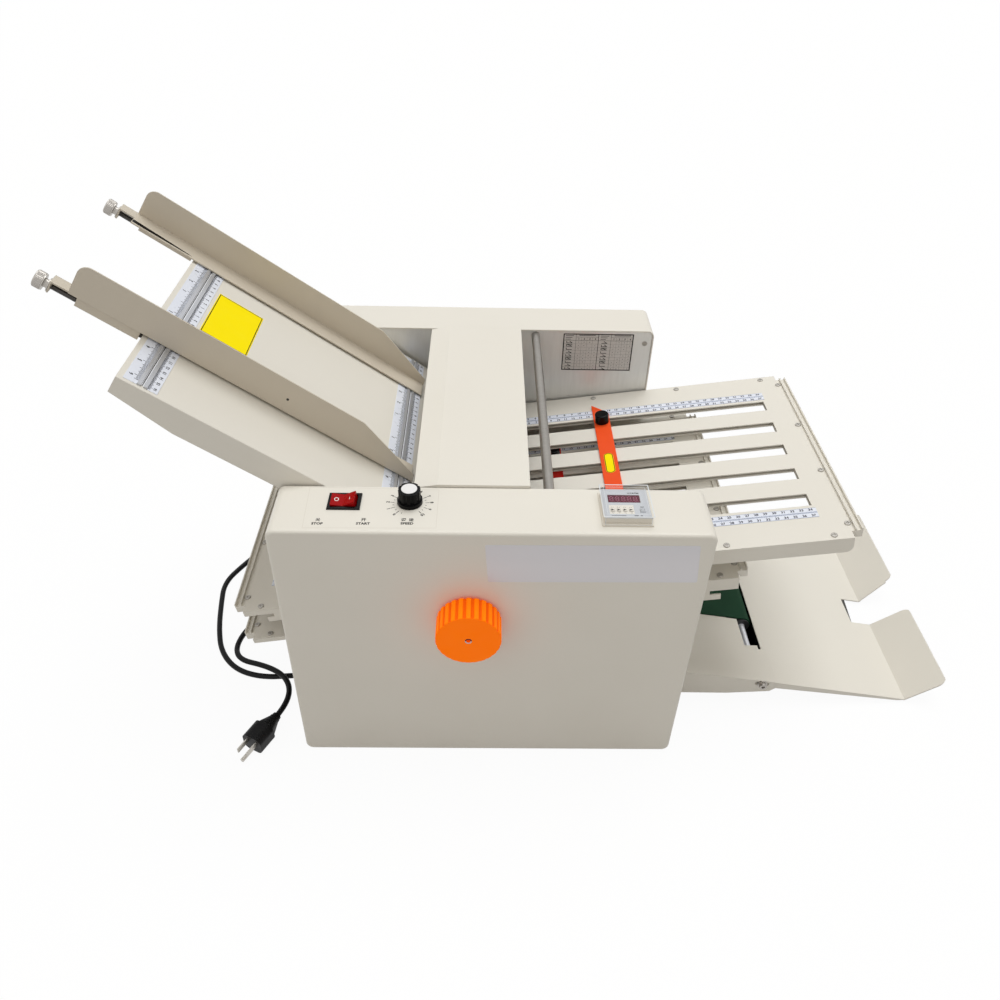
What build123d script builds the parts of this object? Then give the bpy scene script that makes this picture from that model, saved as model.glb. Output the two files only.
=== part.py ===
from build123d import *
import math
import os

# Paper folding machine with a sloping feed table, four buckle plates and a belt delivery.
# Millimetres, +Z up, +X towards the delivery end, +Y towards the rear cover.
# While it is made, X = 0 is the left end of the covers, Y = 0 is the front cover's face and
# Z = 0 is the table. At the end everything moves so that the origin is the middle of the foot.

# Sheet metal and general fits
sheet = 1.5
skin = 0.4
seat_gap = 0.3
running_fit = 0.05
bolt_fit = 0.02

# Covers and side plates
cover_length = 433.3
cover_top = 344.3
ground_gap = 1.5
cover_corner = 9.0
cover_edge = 3.5
cover_wall = 1.5
front_depth = 70.0
rear_depth = 66.0
cover_lap = 2.0
plate_thick = 3.0
front_plate_y = 63.0
plate_bottom = 8.0
corner_screw_left = 12.0
corner_screw_right = 11.0
corner_screw_low = 30.0
corner_screw_drop = 18.9

# Fold plates set the room between the side plates
plate_half = 169.0
plate_front_room = 8.0
plate_rear_room = 3.0
plate_mid = front_plate_y + plate_thick + plate_front_room + plate_half
rear_plate_y = plate_mid + plate_half + plate_rear_room
rear_face = rear_plate_y - cover_lap

# Rubber feet
foot_radius = 9.0
foot_inset = 30.0

# Fold rollers: six shafts in a zigzag, each geared to the next
gear_module = 1.0
gear_teeth = 32
gear_slack = 0.17
gear_width = 10.0
gear_front = 44.0
roller_nip = 0.35
roller_front = 76.0
roller_rear = rear_plate_y - 10.0
shaft_radius = 6.0
shaft_front = 40.0
shaft_rear = rear_plate_y + 9.0
handwheel_x = 194.0
handwheel_z = 228.0
zigzag_angle = 45.0
infeed_angle = 55.0

# Handwheel
wheel_radius = 33.5
wheel_thick = 28.0
wheel_gap = 3.0
wheel_flutes = 26
flute_radius = 2.3
wheel_hole = 2.2

# Shaft bushes in the side plates
bush_radius = 9.0
bush_flange = 11.5
bush_lip = 1.5

# Fold plates: outer corner of the top sheet, slope and the mouth beside the rollers
plate_stack = 6.0
channel = 3.0
right_mouth = 236.0
left_mouth = 172.0
right_slope = 8.2
left_slope = 10.0
slot_count = 5
slot_pitch = 49.4
slot_width = 21.0
slot_start = 12.0
slot_end = 28.8
tongue = 12.0
tongue_notch = 11.0
rail_width = 8.0
rail_rise = 3.0
rail_drop = 9.0
stud_radius = 4.0
stud_length = 12.5
stud_near = 45.0
stud_left_edge = 22.0
stud_right_edge = 47.3
plate_ruler_inner = 113.8
plate_ruler_width = 16.0
plate_ruler_end = 26.0

# Paper stops on the fold plates
stop_width = 21.0
stop_thick = 2.0
stop_reach = 140.0
stop_point = 11.0
stop_tab = 15.0
stop_knob_radius = 9.0
stop_knob_height = 12.5
stop_screw = 2.5

# Feed table: foot beside the rollers, slope, length along the slope
table_foot_x = 185.952
table_foot_z = 246.002
table_slope = 34.94
table_length = 386.4
table_front = 72.8
table_rear = rear_plate_y - 5.0
table_lip = 20.0
table_skirt = 30.0
table_skirt_run = 67.0
table_boss_upper = 176.4
table_boss_lower = 66.4
boss_radius = 7.0
rail_upper = 23.5
rail_lower = table_length - 89.9
rail_strip = 3.7
rail_slot = 2.6
rail_height = 2.0
band_wide = 13.0
band_narrow = 10.0

# Paper guides on the feed table
guide_front_y = 150.0
guide_rear_y = table_rear - 52.0
guide_start = -74.5
guide_end = table_length - 73.4
guide_height = 39.0
guide_corner = 11.0
guide_drop_start = guide_end - 83.4
guide_nose = 11.0
guide_flange = 28.0
guide_arm_end = -92.0
guide_arm_width = 14.0
guide_arm_offset = 8.0
guide_screw_drop = 5.0
guide_screw_radius = 3.0
guide_knob_radius = 8.5
guide_knob_length = 9.0
housing_start = -66.0
housing_end = -3.0
housing_half = 4.5

# Feed roller and separator pad
feed_station = table_length - 31.4
feed_radius = 18.0
feed_tyre = 36.0
feed_tyres = (150.0, 242.0, 334.0)
pad_length = 24.0
pad_width = 40.0
pad_depth = 12.0

# Hood over the rollers
hood_left = 137.0
hood_crease = 160.9
hood_right = 254.9
hood_left_top = 343.2
hood_top = 347.3
hood_left_bottom = 312.0
hood_right_bottom = 300.0
hood_skirt = 322.0
hood_side_gap = 0.8
hood_pegs = (165.0, 235.0)
peg_radius = 3.0

# Tie rods across the machine
tie_radius = 5.5
tie_places = ((274.9, 335.5), (30.0, 60.0), (60.0, 235.0), (cover_length - 23.3, 120.0))

# Rocker switch, speed control and counter on the front cover's top
switch_x = 70.7
switch_y = 45.5
bezel_length = 32.5
bezel_width = 25.0
bezel_height = 2.0
rocker_length = 24.0
rocker_width = 18.0
rocker_opening = 1.0
rocker_tilt = 8.0
pivot_radius = 1.5
pivot_half = 9.9
speed_x = 135.0
speed_y = 46.0
speed_radius = 11.0
speed_skirt = 12.5
speed_cap = 7.8
speed_height = 16.5
counter_x = cover_length - 86.1
counter_y = 38.0
counter_length = 49.6
counter_width = 51.0
counter_rise = 8.0
counter_below = 40.0
lid_top = 11.7
lid_base = 1.7
lid_wall = 1.5
lid_hinge_radius = 1.4
key_size = 3.4
key_rise = 1.0
key_travel = 0.7
key_places = (-14.2, -8.2, -2.2, 3.8)
key_row = -10.7
reset_place = 15.2
window_place = (-1.3, 7.5)
window_size = (32.0, 12.0)

# Delivery: sloping tray with a belt, and a sliding end tray
tray_x = 464.7
tray_z = 56.3
tray_slope = 9.3
tray_start = 245.0
idler_x = 557.5
tray_end = idler_x + 19.0
tray_front = 74.0
tray_rear = rear_plate_y - 5.0
tray_belt_front = 178.0
tray_belt_rear = tray_rear - 99.0
tray_gap_start = idler_x - 9.0
tray_gap_end = idler_x + 12.5
tray_gap_front = 127.7
tray_gap_rear = tray_rear - 49.0
tray_skirt_z = 20.0
tray_boss_left = 290.0
tray_boss_right = cover_length - 33.3
tray_boss_drop = 12.0
tray_boss_radius = 6.0
ear_hold = 4.0
ear_reach = 7.0
ear_half = 9.0
bed_margin = 10.0
bed_overlap = 8.0
belt_front = tray_belt_front + 2.0
belt_rear = tray_belt_rear - 2.0
belt_thick = 1.5
belt_roller = 11.0
belt_proud = 0.4
drive_x = 252.0
conveyor_shaft = 4.0
bend_x = tray_end + 173.0
bend_z = 3.2
flap_x = bend_x + 43.9
flap_z = 38.0
notch_start = bend_x - 27.5
notch_front = 205.0
notch_rear = 250.0
flap_corner = 9.0
mouth_flare = 14.4
end_tray_skirt = 10.0
bolt_x = idler_x + 1.0
bolt_z = 36.0
bolt_radius = 3.0
bolt_slot = 18.0

# Motor and belts in the rear cover
motor_x = 330.0
motor_z = 170.0
motor_radius = 38.0
motor_thick = 28.0
motor_wall = 4.0
motor_shaft = 4.0
motor_pulley = 13.0
drive_pulley = 13.0
feed_pulley = 10.0
belt_height = 3.0
belt_seat = 0.25
feed_belt_y = rear_plate_y + 12.0
drive_belt_y = rear_plate_y + 40.0
pulley_half = 3.5

# Power cord with a moulded three-pin plug
cord_radius = 3.5
gland_y = rear_plate_y + 29.0
gland_z = 18.0
gland_reach = 22.0
gland_radius = 9.0
cord_points = (
    (-22, gland_y, gland_z), (-58, gland_y, gland_z), (-94, 431, 8), (-113, 398, 3.6), (-120, 356, 3.6),
    (-145, 317, 3.6), (-165, 278, 3.6), (-159, 234, 3.6), (-151, 190, 3.6), (-138, 148, 3.6),
    (-111, 117, 3.6), (-73, 105, 3.6), (-32, 109, 3.6), (28, 112, 3.6), (92, 103, 3.6),
    (160, 108, 3.6), (225, 140, 3.6), (258, 205, 3.6), (240, 272, 3.6), (180, 316, 3.6),
    (108, 322, 3.6), (42, 296, 3.6), (-14, 252, 3.6), (-62, 224, 3.6), (-112, 200, 3.6),
    (-123, 137, 4.2), (-62, 113, 14.5), (-35, 90, 14.5), (-31.5, 58, 13))
plug_end = (-42.5, 36.6, 13.0)
plug_neck = 20.0
plug_body = 44.0
plug_width = 27.0
plug_height = 25.0
plug_blade = 17.0


def block(x0, x1, y0, y1, z0, z1):
    """Box between two opposite corners."""
    return Pos((x0 + x1) / 2, (y0 + y1) / 2, (z0 + z1) / 2) * Box(x1 - x0, y1 - y0, z1 - z0)


def rod(x, z, radius, y0, y1):
    """Round bar along Y."""
    return Pos(x, (y0 + y1) / 2, z) * Rot(90, 0, 0) * Cylinder(radius, y1 - y0)


def bar(y, z, radius, x0, x1):
    """Round bar along X."""
    return Pos((x0 + x1) / 2, y, z) * Rot(0, 90, 0) * Cylinder(radius, x1 - x0)


def post(x, y, radius, z0, z1):
    """Round bar along Z."""
    return Pos(x, y, (z0 + z1) / 2) * Cylinder(radius, z1 - z0)


def side_face(points):
    """Flat face in the XZ plane through a ring of points."""
    return Plane.XZ * make_face(Polyline(*points, close=True))


def prism(points, y0, y1):
    """Side view outline, given as (x, z), as thick as y0 to y1."""
    return Pos(0, y1, 0) * extrude(side_face(points), amount=y1 - y0)


def flat_prism(points, z0, z1):
    """Top view outline, given as (x, y), as thick as z0 to z1."""
    return Pos(0, 0, z0) * extrude(make_face(Polyline(*points, close=True)), amount=z1 - z0)


def upright(x0, x1, z0, z1, radius, y0, y1):
    """Rounded rectangle seen from the front, as thick as y0 to y1."""
    face = Plane.XZ * RectangleRounded(x1 - x0, z1 - z0, radius)
    return Pos((x0 + x1) / 2, y1, (z0 + z1) / 2) * extrude(face, amount=y1 - y0)


def direction(angle):
    return math.cos(math.radians(angle)), math.sin(math.radians(angle))


def sloped(x, y, z, angle):
    """Frame whose X runs at an angle in the side view, with its Z on the upper side."""
    cosine, sine = direction(angle)
    upper = 1 if cosine > 0 else -1
    place = Plane(origin=(x, y, z), x_dir=(cosine, 0, sine), z_dir=(-sine * upper, 0, cosine * upper))
    return place.location


def pieces(*shapes):
    """Separate solids that share one node."""
    return Compound([solid for shape in shapes for solid in shape.solids()])


inner_front = front_plate_y + plate_thick
inner_rear = rear_plate_y
rear_back = rear_face + rear_depth
feed_cos, feed_sin = direction(table_slope)
table_x = table_foot_x - table_length * feed_cos
table_z = table_foot_z + table_length * feed_sin
table_frame = sloped(table_x, 0, table_z, -table_slope)
nodes = {}

# Roller places: the second roller is on the handwheel's shaft
centre_distance = gear_module * gear_teeth + gear_slack
roller_radius = (centre_distance - roller_nip) / 2
step_x, step_z = (centre_distance * part for part in direction(zigzag_angle))
lead_x, lead_z = (centre_distance * part for part in direction(infeed_angle))
right_column = handwheel_x + step_x
roller_places = [(handwheel_x + lead_x, handwheel_z + lead_z), (handwheel_x, handwheel_z)]
for index in range(1, 5):
    column = right_column if index % 2 else handwheel_x
    roller_places.append((column, handwheel_z - index * step_z))

# Feed roller, conveyor and motor places
feed_height = feed_radius + seat_gap
feed_place = (table_x + feed_station * feed_cos + feed_height * feed_sin,
              table_z - feed_station * feed_sin + feed_height * feed_cos)
tray_cos, tray_sin = direction(tray_slope)


def tray_top(x):
    return tray_z - (x - tray_x) * tray_sin / tray_cos


belt_outer = belt_roller + running_fit + belt_thick
belt_drop = (belt_outer - belt_proud) / tray_cos
drive_place = (drive_x, tray_top(drive_x) - belt_drop)
idler_place = (idler_x, tray_top(idler_x) - belt_drop)
motor_place = (motor_x, motor_z)


slot_centres = [(index - (slot_count - 1) / 2) * slot_pitch for index in range(slot_count)]


class PlateSpec:
    """One fold plate: where its top sheet ends, which way it runs, its flanges and its row of slots."""

    def __init__(self, end_x, end_z, right, band, slot, finger, tip, root, stop, slot_shift):
        self.angle = right_slope if right else 180 + left_slope
        self.mouth_x = right_mouth if right else left_mouth
        cosine, sine = direction(self.angle)
        self.length = (end_x - self.mouth_x) / cosine
        self.mouth_z = end_z - self.length * sine
        self.band = band
        self.slot = slot
        self.finger = finger
        self.tip = self.length - tip
        self.root = self.length - root
        self.stop = stop
        self.depth = band + slot + finger
        stud_far = cover_length - right_mouth - stud_right_edge if right else left_mouth - stud_left_edge
        self.studs = (stud_near, stud_far)
        self.frame = sloped(self.mouth_x, plate_mid, self.mouth_z, self.angle)
        self.ruler_shift = slot_shift
        self.slots = [centre + slot_shift for centre in slot_centres]

    def point(self, along, above):
        """Place in the side view of a point along the plate and above its top sheet."""
        cosine, sine = direction(self.angle)
        upper = 1 if cosine > 0 else -1
        return (self.mouth_x + along * cosine - above * sine * upper,
                self.mouth_z + along * sine + above * cosine * upper)


plates = [
    PlateSpec(606.7, 279.6, True, 20.0, 0.0, 0.0, 0.0, 0.0, 120.0, 0.0),
    PlateSpec(-67.0, 156.0, False, 7.0, 5.0, 7.0, 25.0, 34.0, 110.0, 0.0),
    PlateSpec(493.7, 218.6, True, 17.0, 6.0, 8.0, 19.5, 32.0, 57.5, -7.5),
    PlateSpec(-62.9, 110.0, False, 6.0, 5.0, 7.0, 38.0, 47.0, 80.0, 0.0),
]


def flange_outline(spec):
    """Side view of a plate's folded edge, with its hook where it has one."""
    if spec.slot == 0:
        return [(0, 0), (0, -spec.band), (spec.length, -spec.band), (spec.length, 0)]
    ledge = -(spec.band + spec.slot)
    return [(0, 0), (0, -spec.depth), (spec.tip, -spec.depth), (spec.tip, ledge),
            (spec.root, ledge), (spec.root, -spec.band), (spec.length, -spec.band), (spec.length, 0)]


def fold_plate(spec):
    """Two slotted sheets with a paper channel between them, closed by folded edges and an end rail."""
    end = spec.length + tongue
    body = block(0, spec.length, -plate_half, plate_half, -plate_stack, 0)
    body += block(spec.length, end, tongue_notch - plate_half, plate_half - tongue_notch, -plate_stack, 0)
    inner = plate_half - sheet
    body -= block(-1, spec.length - slot_end / 2, -inner, inner, -sheet - channel, -sheet)
    for centre in spec.slots:
        body -= block(slot_start, spec.length - slot_end, centre - slot_width / 2,
                      centre + slot_width / 2, -plate_stack - 1, 1)
    for side in (-plate_half, plate_half - sheet):
        body += prism(flange_outline(spec), side, side + sheet)
    rail_half = plate_half - tongue_notch
    rail = block(end - rail_width, end, -rail_half, rail_half, -rail_drop, rail_rise)
    rail -= block(end - rail_width + sheet, end - sheet, -rail_half - 1, rail_half + 1, 0, rail_rise + 1)
    body += rail
    if spec.slot == 0:
        corners = body.edges().filter_by(Axis.Y).filter_by(
            lambda edge: abs(edge.center().X - spec.length) < 0.01 and abs(edge.center().Z + spec.band) < 0.01)
        body = fillet(corners, spec.band * 0.4)
    return spec.frame * body


def stop_outline(start):
    """Top view of a paper stop: a bar with one pointed corner at each ruler."""
    end = start + stop_width
    shoulder = stop_reach - stop_point * 2
    return [(start, stop_reach), (start, -stop_reach), (start + stop_point, stop_point - stop_reach),
            (end, -shoulder), (end, shoulder), (start + stop_point, stop_reach - stop_point)]


stop_base = skin + seat_gap
stop_top = stop_base + stop_thick


def paper_stop(spec):
    """Bar across the plate whose five tabs hang in the slots and close the channel."""
    body = flat_prism(stop_outline(spec.stop), stop_base, stop_top)
    middle = spec.stop + stop_width / 2
    for centre in spec.slots:
        body += block(middle - stop_tab / 2, middle + stop_tab / 2, centre - stop_tab / 2,
                      centre + stop_tab / 2, -sheet - channel, stop_base)
    body -= post(middle, spec.slots[-1], stop_screw + running_fit, -plate_stack, stop_top + 1)
    return spec.frame * body


def stop_knob(spec):
    """Black clamp knob on its screw."""
    middle = spec.stop + stop_width / 2
    base = stop_top + seat_gap / 2
    cap = post(middle, spec.slots[-1], stop_knob_radius, base, base + stop_knob_height)
    cap = fillet(cap.edges().group_by(Axis.Z)[-1], 1.5)
    cap += post(middle, spec.slots[-1], stop_screw, -sheet - channel, base)
    return spec.frame * cap


def plate_rulers(spec):
    """Printed scale strips beside the outer slots."""
    strips = []
    end = spec.length - plate_ruler_end
    for side in (plate_ruler_inner, -plate_ruler_inner - plate_ruler_width):
        inner = side + spec.ruler_shift
        strips.append(spec.frame * block(slot_start, end, inner, inner + plate_ruler_width, 0, skin))
    return strips


def plate_screw_heads(spec):
    """Pan heads along both edges and across the outer end."""
    heads = []
    edge = plate_half - 7.0
    along = [spec.length - 20.0, spec.length - 135.0]
    if spec.length > 300:
        along.append(spec.length - 250.0)
    places = [(station, side * edge) for station in along for side in (-1, 1)]
    places += [(spec.length - 0.5, offset * 98.0) for offset in (-1.48, -0.49, 0.49, 1.48)]
    for station, across in places:
        heads.append(spec.frame * screw_head(station, across, 0))
    return heads


def screw_head(x, y, z):
    head = post(x, y, 3.6, z, z + 1.4)
    head = fillet(head.edges().group_by(Axis.Z)[-1], 0.9)
    return head - Pos(x, y, z + 1.4) * Box(4.2, 0.8, 1.0) - Pos(x, y, z + 1.4) * Box(0.8, 4.2, 1.0)


def bush_places():
    return roller_places + [feed_place, drive_place]


def shaft_size(place):
    return conveyor_shaft if place == drive_place else shaft_radius


def side_plate(y0):
    """Steel side plate with a hole for each bush."""
    inset = cover_wall + seat_gap
    plate = upright(inset, cover_length - inset, plate_bottom, cover_top - inset,
                    cover_corner - inset, y0, y0 + plate_thick)
    for x, z in bush_places():
        plate -= rod(x, z, bush_radius + bolt_fit, y0 - 1, y0 + plate_thick + 1)
    return plate


nodes["front_side_plate"] = side_plate(front_plate_y)
rear_plate = side_plate(rear_plate_y)
rear_plate -= rod(motor_x, motor_z, motor_shaft + 2, rear_plate_y - 1, rear_plate_y + plate_thick + 1)
nodes["rear_side_plate"] = rear_plate

# Tie rods between the side plates, and the studs and pegs that carry the fold plates and the hood
pins = [rod(x, z, tie_radius, inner_front, inner_rear) for x, z in tie_places]
for y0, y1 in ((inner_front, inner_front + stud_length), (inner_rear - stud_length, inner_rear)):
    for spec in plates:
        for station in spec.studs:
            pins.append(rod(*spec.point(station, -spec.depth - seat_gap - stud_radius), stud_radius, y0, y1))
    for x in hood_pegs:
        pins.append(rod(x, hood_skirt - seat_gap - peg_radius, peg_radius, y0, y1))
nodes["rods_and_studs"] = pieces(*pins)


def cover(y_open, y_closed):
    """Deep sheet cover with soft outer edges, open towards the machine's middle."""
    y0, y1 = sorted((y_open, y_closed))
    shell = upright(0, cover_length, ground_gap, cover_top, cover_corner, y0, y1)
    closed = shell.faces().sort_by(Axis.Y)[0 if y_closed < y_open else -1]
    shell = fillet(closed.edges(), cover_edge)
    z0 = ground_gap + cover_wall
    hollow = (y_closed + cover_wall, y1 + 1) if y_closed < y_open else (y0 - 1, y_closed - cover_wall)
    return shell - upright(cover_wall, cover_length - cover_wall, z0, cover_top - cover_wall,
                           cover_corner - cover_wall, *hollow)


front_cover = cover(front_depth, 0)
switch_half_x = bezel_length / 2 - 2.0
switch_half_y = bezel_width / 2 - 2.0
counter_half = counter_length / 2 - 3.0
panel_low = cover_top - cover_wall - 1
front_cover -= block(switch_x - switch_half_x, switch_x + switch_half_x, switch_y - switch_half_y,
                     switch_y + switch_half_y, panel_low, cover_top + 1)
front_cover -= block(counter_x - counter_half, counter_x + counter_half, counter_y - counter_half,
                     counter_y + counter_half, panel_low, cover_top + 1)
bush_neck = 5.0
front_cover -= post(speed_x, speed_y, bush_neck + bolt_fit, panel_low, cover_top + 1)
front_cover -= rod(handwheel_x, handwheel_z, shaft_radius + 1.0, -1, cover_wall + 1)
nodes["front_cover"] = front_cover

rear_cover = cover(rear_face, rear_back)
gland_thread = gland_radius - 2.5
rear_cover -= bar(gland_y, gland_z, gland_thread + bolt_fit, -1, cover_wall + 1)
nodes["rear_cover"] = rear_cover

feet = []
for x in (foot_inset, cover_length - foot_inset):
    for y in (front_depth / 2, rear_back - rear_depth / 2):
        feet.append(post(x, y, foot_radius, 0, ground_gap))
nodes["rubber_feet"] = pieces(*feet)

bushes = []
for place in bush_places():
    for y, outward in ((front_plate_y, -1), (rear_plate_y + plate_thick, 1)):
        ends = sorted((y, y + outward * bush_lip))
        body = rod(*place, bush_flange, *ends)
        ends = sorted((y, y - outward * plate_thick))
        body += rod(*place, bush_radius, *ends)
        body -= rod(*place, shaft_size(place) + running_fit, y - 10, y + 10)
        bushes.append(body)
nodes["shaft_bushes"] = pieces(*bushes)


def gear(x, z, phase, y0, y1):
    """Spur gear seen from the front, with a tooth centred on the phase angle."""
    pitch = gear_module * gear_teeth / 2
    flank = ((pitch - 1.2 * gear_module, 0.98), (pitch, 0.66), (pitch + 0.85 * gear_module, 0.32))
    points = []
    for tooth in range(gear_teeth):
        centre = math.radians(phase) + 2 * math.pi * tooth / gear_teeth
        for side, profile in ((-1, flank), (1, flank[::-1])):
            for radius, half in profile:
                angle = centre + side * half * gear_module / radius
                points.append((x + radius * math.cos(angle), z + radius * math.sin(angle)))
    return prism(points, y0, y1)


def gear_phases():
    """Each gear is turned so that its teeth sit in the gaps of the gear before it."""
    pitch = 360.0 / gear_teeth
    phases = [0.0]
    for (x0, z0), (x1, z1) in zip(roller_places, roller_places[1:]):
        line = math.degrees(math.atan2(z1 - z0, x1 - x0))
        phases.append((2 * line + 180 - phases[-1] + pitch / 2) % pitch)
    return phases


def grooved_pulley(place, radius, y):
    """Belt pulley with a groove."""
    wheel = rod(*place, radius + belt_height / 2, y - pulley_half, y + pulley_half)
    half_groove = belt_height / 2 + belt_seat
    groove = rod(*place, radius + belt_height, y - half_groove, y + half_groove)
    return wheel - (groove - rod(*place, radius, y - half_groove, y + half_groove))


for index, (place, phase) in enumerate(zip(roller_places, gear_phases())):
    first = -wheel_gap - wheel_thick + 4 if index == 1 else shaft_front
    last = shaft_rear
    if index == 0:
        last = feed_belt_y + pulley_half
    if index == 5:
        last = drive_belt_y + pulley_half
    steel = rod(*place, shaft_radius, first, last)
    steel += gear(*place, phase, gear_front, gear_front + gear_width)
    if index == 0:
        steel += grooved_pulley(place, feed_pulley, feed_belt_y)
    if index == 5:
        steel += grooved_pulley(place, drive_pulley, drive_belt_y)
    sleeve = rod(*place, roller_radius, roller_front, roller_rear)
    sleeve -= rod(*place, shaft_radius, roller_front - 1, roller_rear + 1)
    nodes[f"fold_roller_{index + 1}"] = pieces(steel, sleeve)

wheel = rod(handwheel_x, handwheel_z, wheel_radius, -wheel_gap - wheel_thick, -wheel_gap)
wheel = fillet(wheel.edges().sort_by(Axis.Y)[0], 1.5)
flute_ring = wheel_radius + flute_radius * 0.45
for index in range(wheel_flutes):
    turn_x, turn_z = direction(360.0 * index / wheel_flutes)
    wheel -= rod(handwheel_x + flute_ring * turn_x, handwheel_z + flute_ring * turn_z, flute_radius,
                 -wheel_gap - wheel_thick - 1, -wheel_gap + 1)
wheel -= rod(handwheel_x, handwheel_z, shaft_radius, -wheel_gap - wheel_thick + 4, 0)
wheel -= rod(handwheel_x, handwheel_z, wheel_hole, -wheel_gap - wheel_thick - 1, 0)
nodes["handwheel"] = wheel

for index, spec in enumerate(plates):
    nodes[f"fold_plate_{index + 1}"] = fold_plate(spec)
    nodes[f"paper_stop_{index + 1}"] = paper_stop(spec)
    nodes[f"stop_knob_{index + 1}"] = stop_knob(spec)


def feed_table():
    """Folded sheet table with deep side skirts, an end lip and bosses on the side plates."""
    skirt = [(0, 0), (0, -table_lip), (table_skirt_run, -table_skirt), (table_length, -table_skirt),
             (table_length, 0)]
    body = block(0, table_length, table_front, table_rear, -sheet, 0)
    body += block(0, sheet, table_front, table_rear, -table_lip, 0)
    body += prism(skirt, table_front, table_front + sheet)
    body += prism(skirt, table_rear - sheet, table_rear)
    edges = body.edges().filter_by(Axis.X).filter_by(lambda edge: abs(edge.center().Z) < 0.01)
    body = fillet(edges, sheet * 0.8)
    half_pad = pad_width / 2 + 0.5
    body -= block(feed_station - pad_length / 2 - 0.5, feed_station + pad_length / 2 + 0.5,
                  feed_tyres[1] - half_pad, feed_tyres[1] + half_pad, -sheet - 1, 1)
    for station in (table_length - table_boss_upper, table_length - table_boss_lower):
        for y0, y1 in ((inner_front, table_front), (table_rear, inner_rear)):
            body += rod(station, -table_skirt * 0.55, boss_radius, y0, y1)
    return table_frame * body


nodes["feed_table"] = feed_table()

rails = []
rulers = []
cross_front = table_front + 4.0
cross_rear = table_rear - 4.0
for station in (rail_upper, rail_lower):
    half_slot = rail_slot / 2
    for start in (station - half_slot - rail_strip, station + half_slot):
        rails.append(table_frame * block(start, start + rail_strip, cross_front, cross_rear, 0, rail_height))
    edge = half_slot + rail_strip
    for start, end in ((station - edge - band_wide, station - edge), (station + edge, station + edge + band_narrow)):
        rulers.append(table_frame * block(start, end, cross_front, cross_rear, 0, skin))
nodes["feed_rails"] = pieces(*rails)
for spec in plates:
    rulers += plate_rulers(spec)
nodes["printed_rulers"] = pieces(*rulers)

guide_base = rail_height + seat_gap


def paper_guide(fence_y, inward):
    """Tall side fence with a foot across the rails and a screw housing past the table's top end."""
    def span(near, far):
        return sorted((fence_y + inward * near, fence_y + inward * far))

    outline = Polyline((guide_start, guide_base), (guide_start, guide_height),
                       (guide_drop_start, guide_height), (guide_end - 3, guide_nose),
                       (guide_end, guide_base), close=True)
    face = make_face(outline)
    top_corner = face.vertices().sort_by(Axis.X)[:2].sort_by(Axis.Y)[-1]
    face = fillet(top_corner, guide_corner)
    low, high = span(0, sheet)
    body = Pos(0, high, 0) * extrude(Plane.XZ * face, amount=sheet)
    low, high = span(0, guide_flange)
    body += block(guide_start, guide_end - 2, low, high, guide_base, guide_base + sheet)
    middle = fence_y + inward * guide_arm_offset
    low, high = middle - guide_arm_width / 2, middle + guide_arm_width / 2
    body += block(guide_arm_end, guide_start, low, high, guide_base, guide_base + sheet)
    screw_z = -guide_screw_drop
    body += block(guide_arm_end, guide_arm_end + sheet, low, high, screw_z - housing_half, guide_base + sheet)
    body += block(housing_start, housing_end, middle - housing_half, middle + housing_half,
                  screw_z - housing_half, guide_base)
    body -= bar(middle, screw_z, guide_screw_radius + running_fit, guide_arm_end - 1, housing_end + 1)
    for station in (rail_upper, rail_lower):
        half = rail_slot / 2 - 0.3
        body += block(station - half, station + half, middle - 6, middle + 6, seat_gap, guide_base)
    return table_frame * body


def guide_knob(fence_y, inward):
    """Knurled nickel knob with its washer on the long clamping screw."""
    middle = fence_y + inward * guide_arm_offset
    screw_z = -guide_screw_drop
    washer_end = guide_arm_end - seat_gap
    hub_start = washer_end - 5.0
    knob_start = hub_start - guide_knob_length
    knob = bar(middle, screw_z, guide_knob_radius, knob_start, hub_start)
    knob = fillet(knob.edges().sort_by(Axis.X)[0], 1.2)
    knob += bar(middle, screw_z, 4.5, hub_start, washer_end - 1.0)
    knob += bar(middle, screw_z, 7.0, washer_end - 1.0, washer_end)
    knob += bar(middle, screw_z, guide_screw_radius, washer_end, -seat_gap)
    return table_frame * knob


nodes["front_paper_guide"] = paper_guide(guide_front_y, 1)
nodes["rear_paper_guide"] = paper_guide(guide_rear_y, -1)
nodes["front_guide_knob"] = guide_knob(guide_front_y, 1)
nodes["rear_guide_knob"] = guide_knob(guide_rear_y, -1)


def hood():
    """Lift-off hood: a bent top with a shallow front slope and end skirts resting on pegs."""
    outer = [(hood_left, hood_left_bottom), (hood_left, hood_left_top), (hood_crease, hood_top),
             (hood_right, hood_top), (hood_right, hood_right_bottom)]
    inner = [(hood_right - sheet, hood_right_bottom), (hood_right - sheet, hood_top - sheet),
             (hood_crease, hood_top - sheet), (hood_left + sheet, hood_left_top - sheet),
             (hood_left + sheet, hood_left_bottom)]
    front = front_depth + hood_side_gap
    rear = rear_face - hood_side_gap
    body = prism(outer + inner, front, rear)
    skirt = [(hood_left + sheet, hood_skirt), (hood_left + sheet, hood_left_top - sheet),
             (hood_crease, hood_top - sheet), (hood_right - sheet, hood_top - sheet),
             (hood_right - sheet, hood_skirt)]
    body += prism(skirt, front, front + sheet)
    body += prism(skirt, rear - sheet, rear)
    return body


nodes["hood"] = hood()

feed_steel = rod(*feed_place, shaft_radius, front_plate_y - 3, feed_belt_y + pulley_half)
feed_steel += grooved_pulley(feed_place, feed_pulley, feed_belt_y)
tyres = []
for y in feed_tyres:
    tyre = rod(*feed_place, feed_radius, y - feed_tyre / 2, y + feed_tyre / 2)
    tyres.append(tyre - rod(*feed_place, shaft_radius, y - feed_tyre, y + feed_tyre))
nodes["feed_roller"] = pieces(feed_steel, *tyres)

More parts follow.
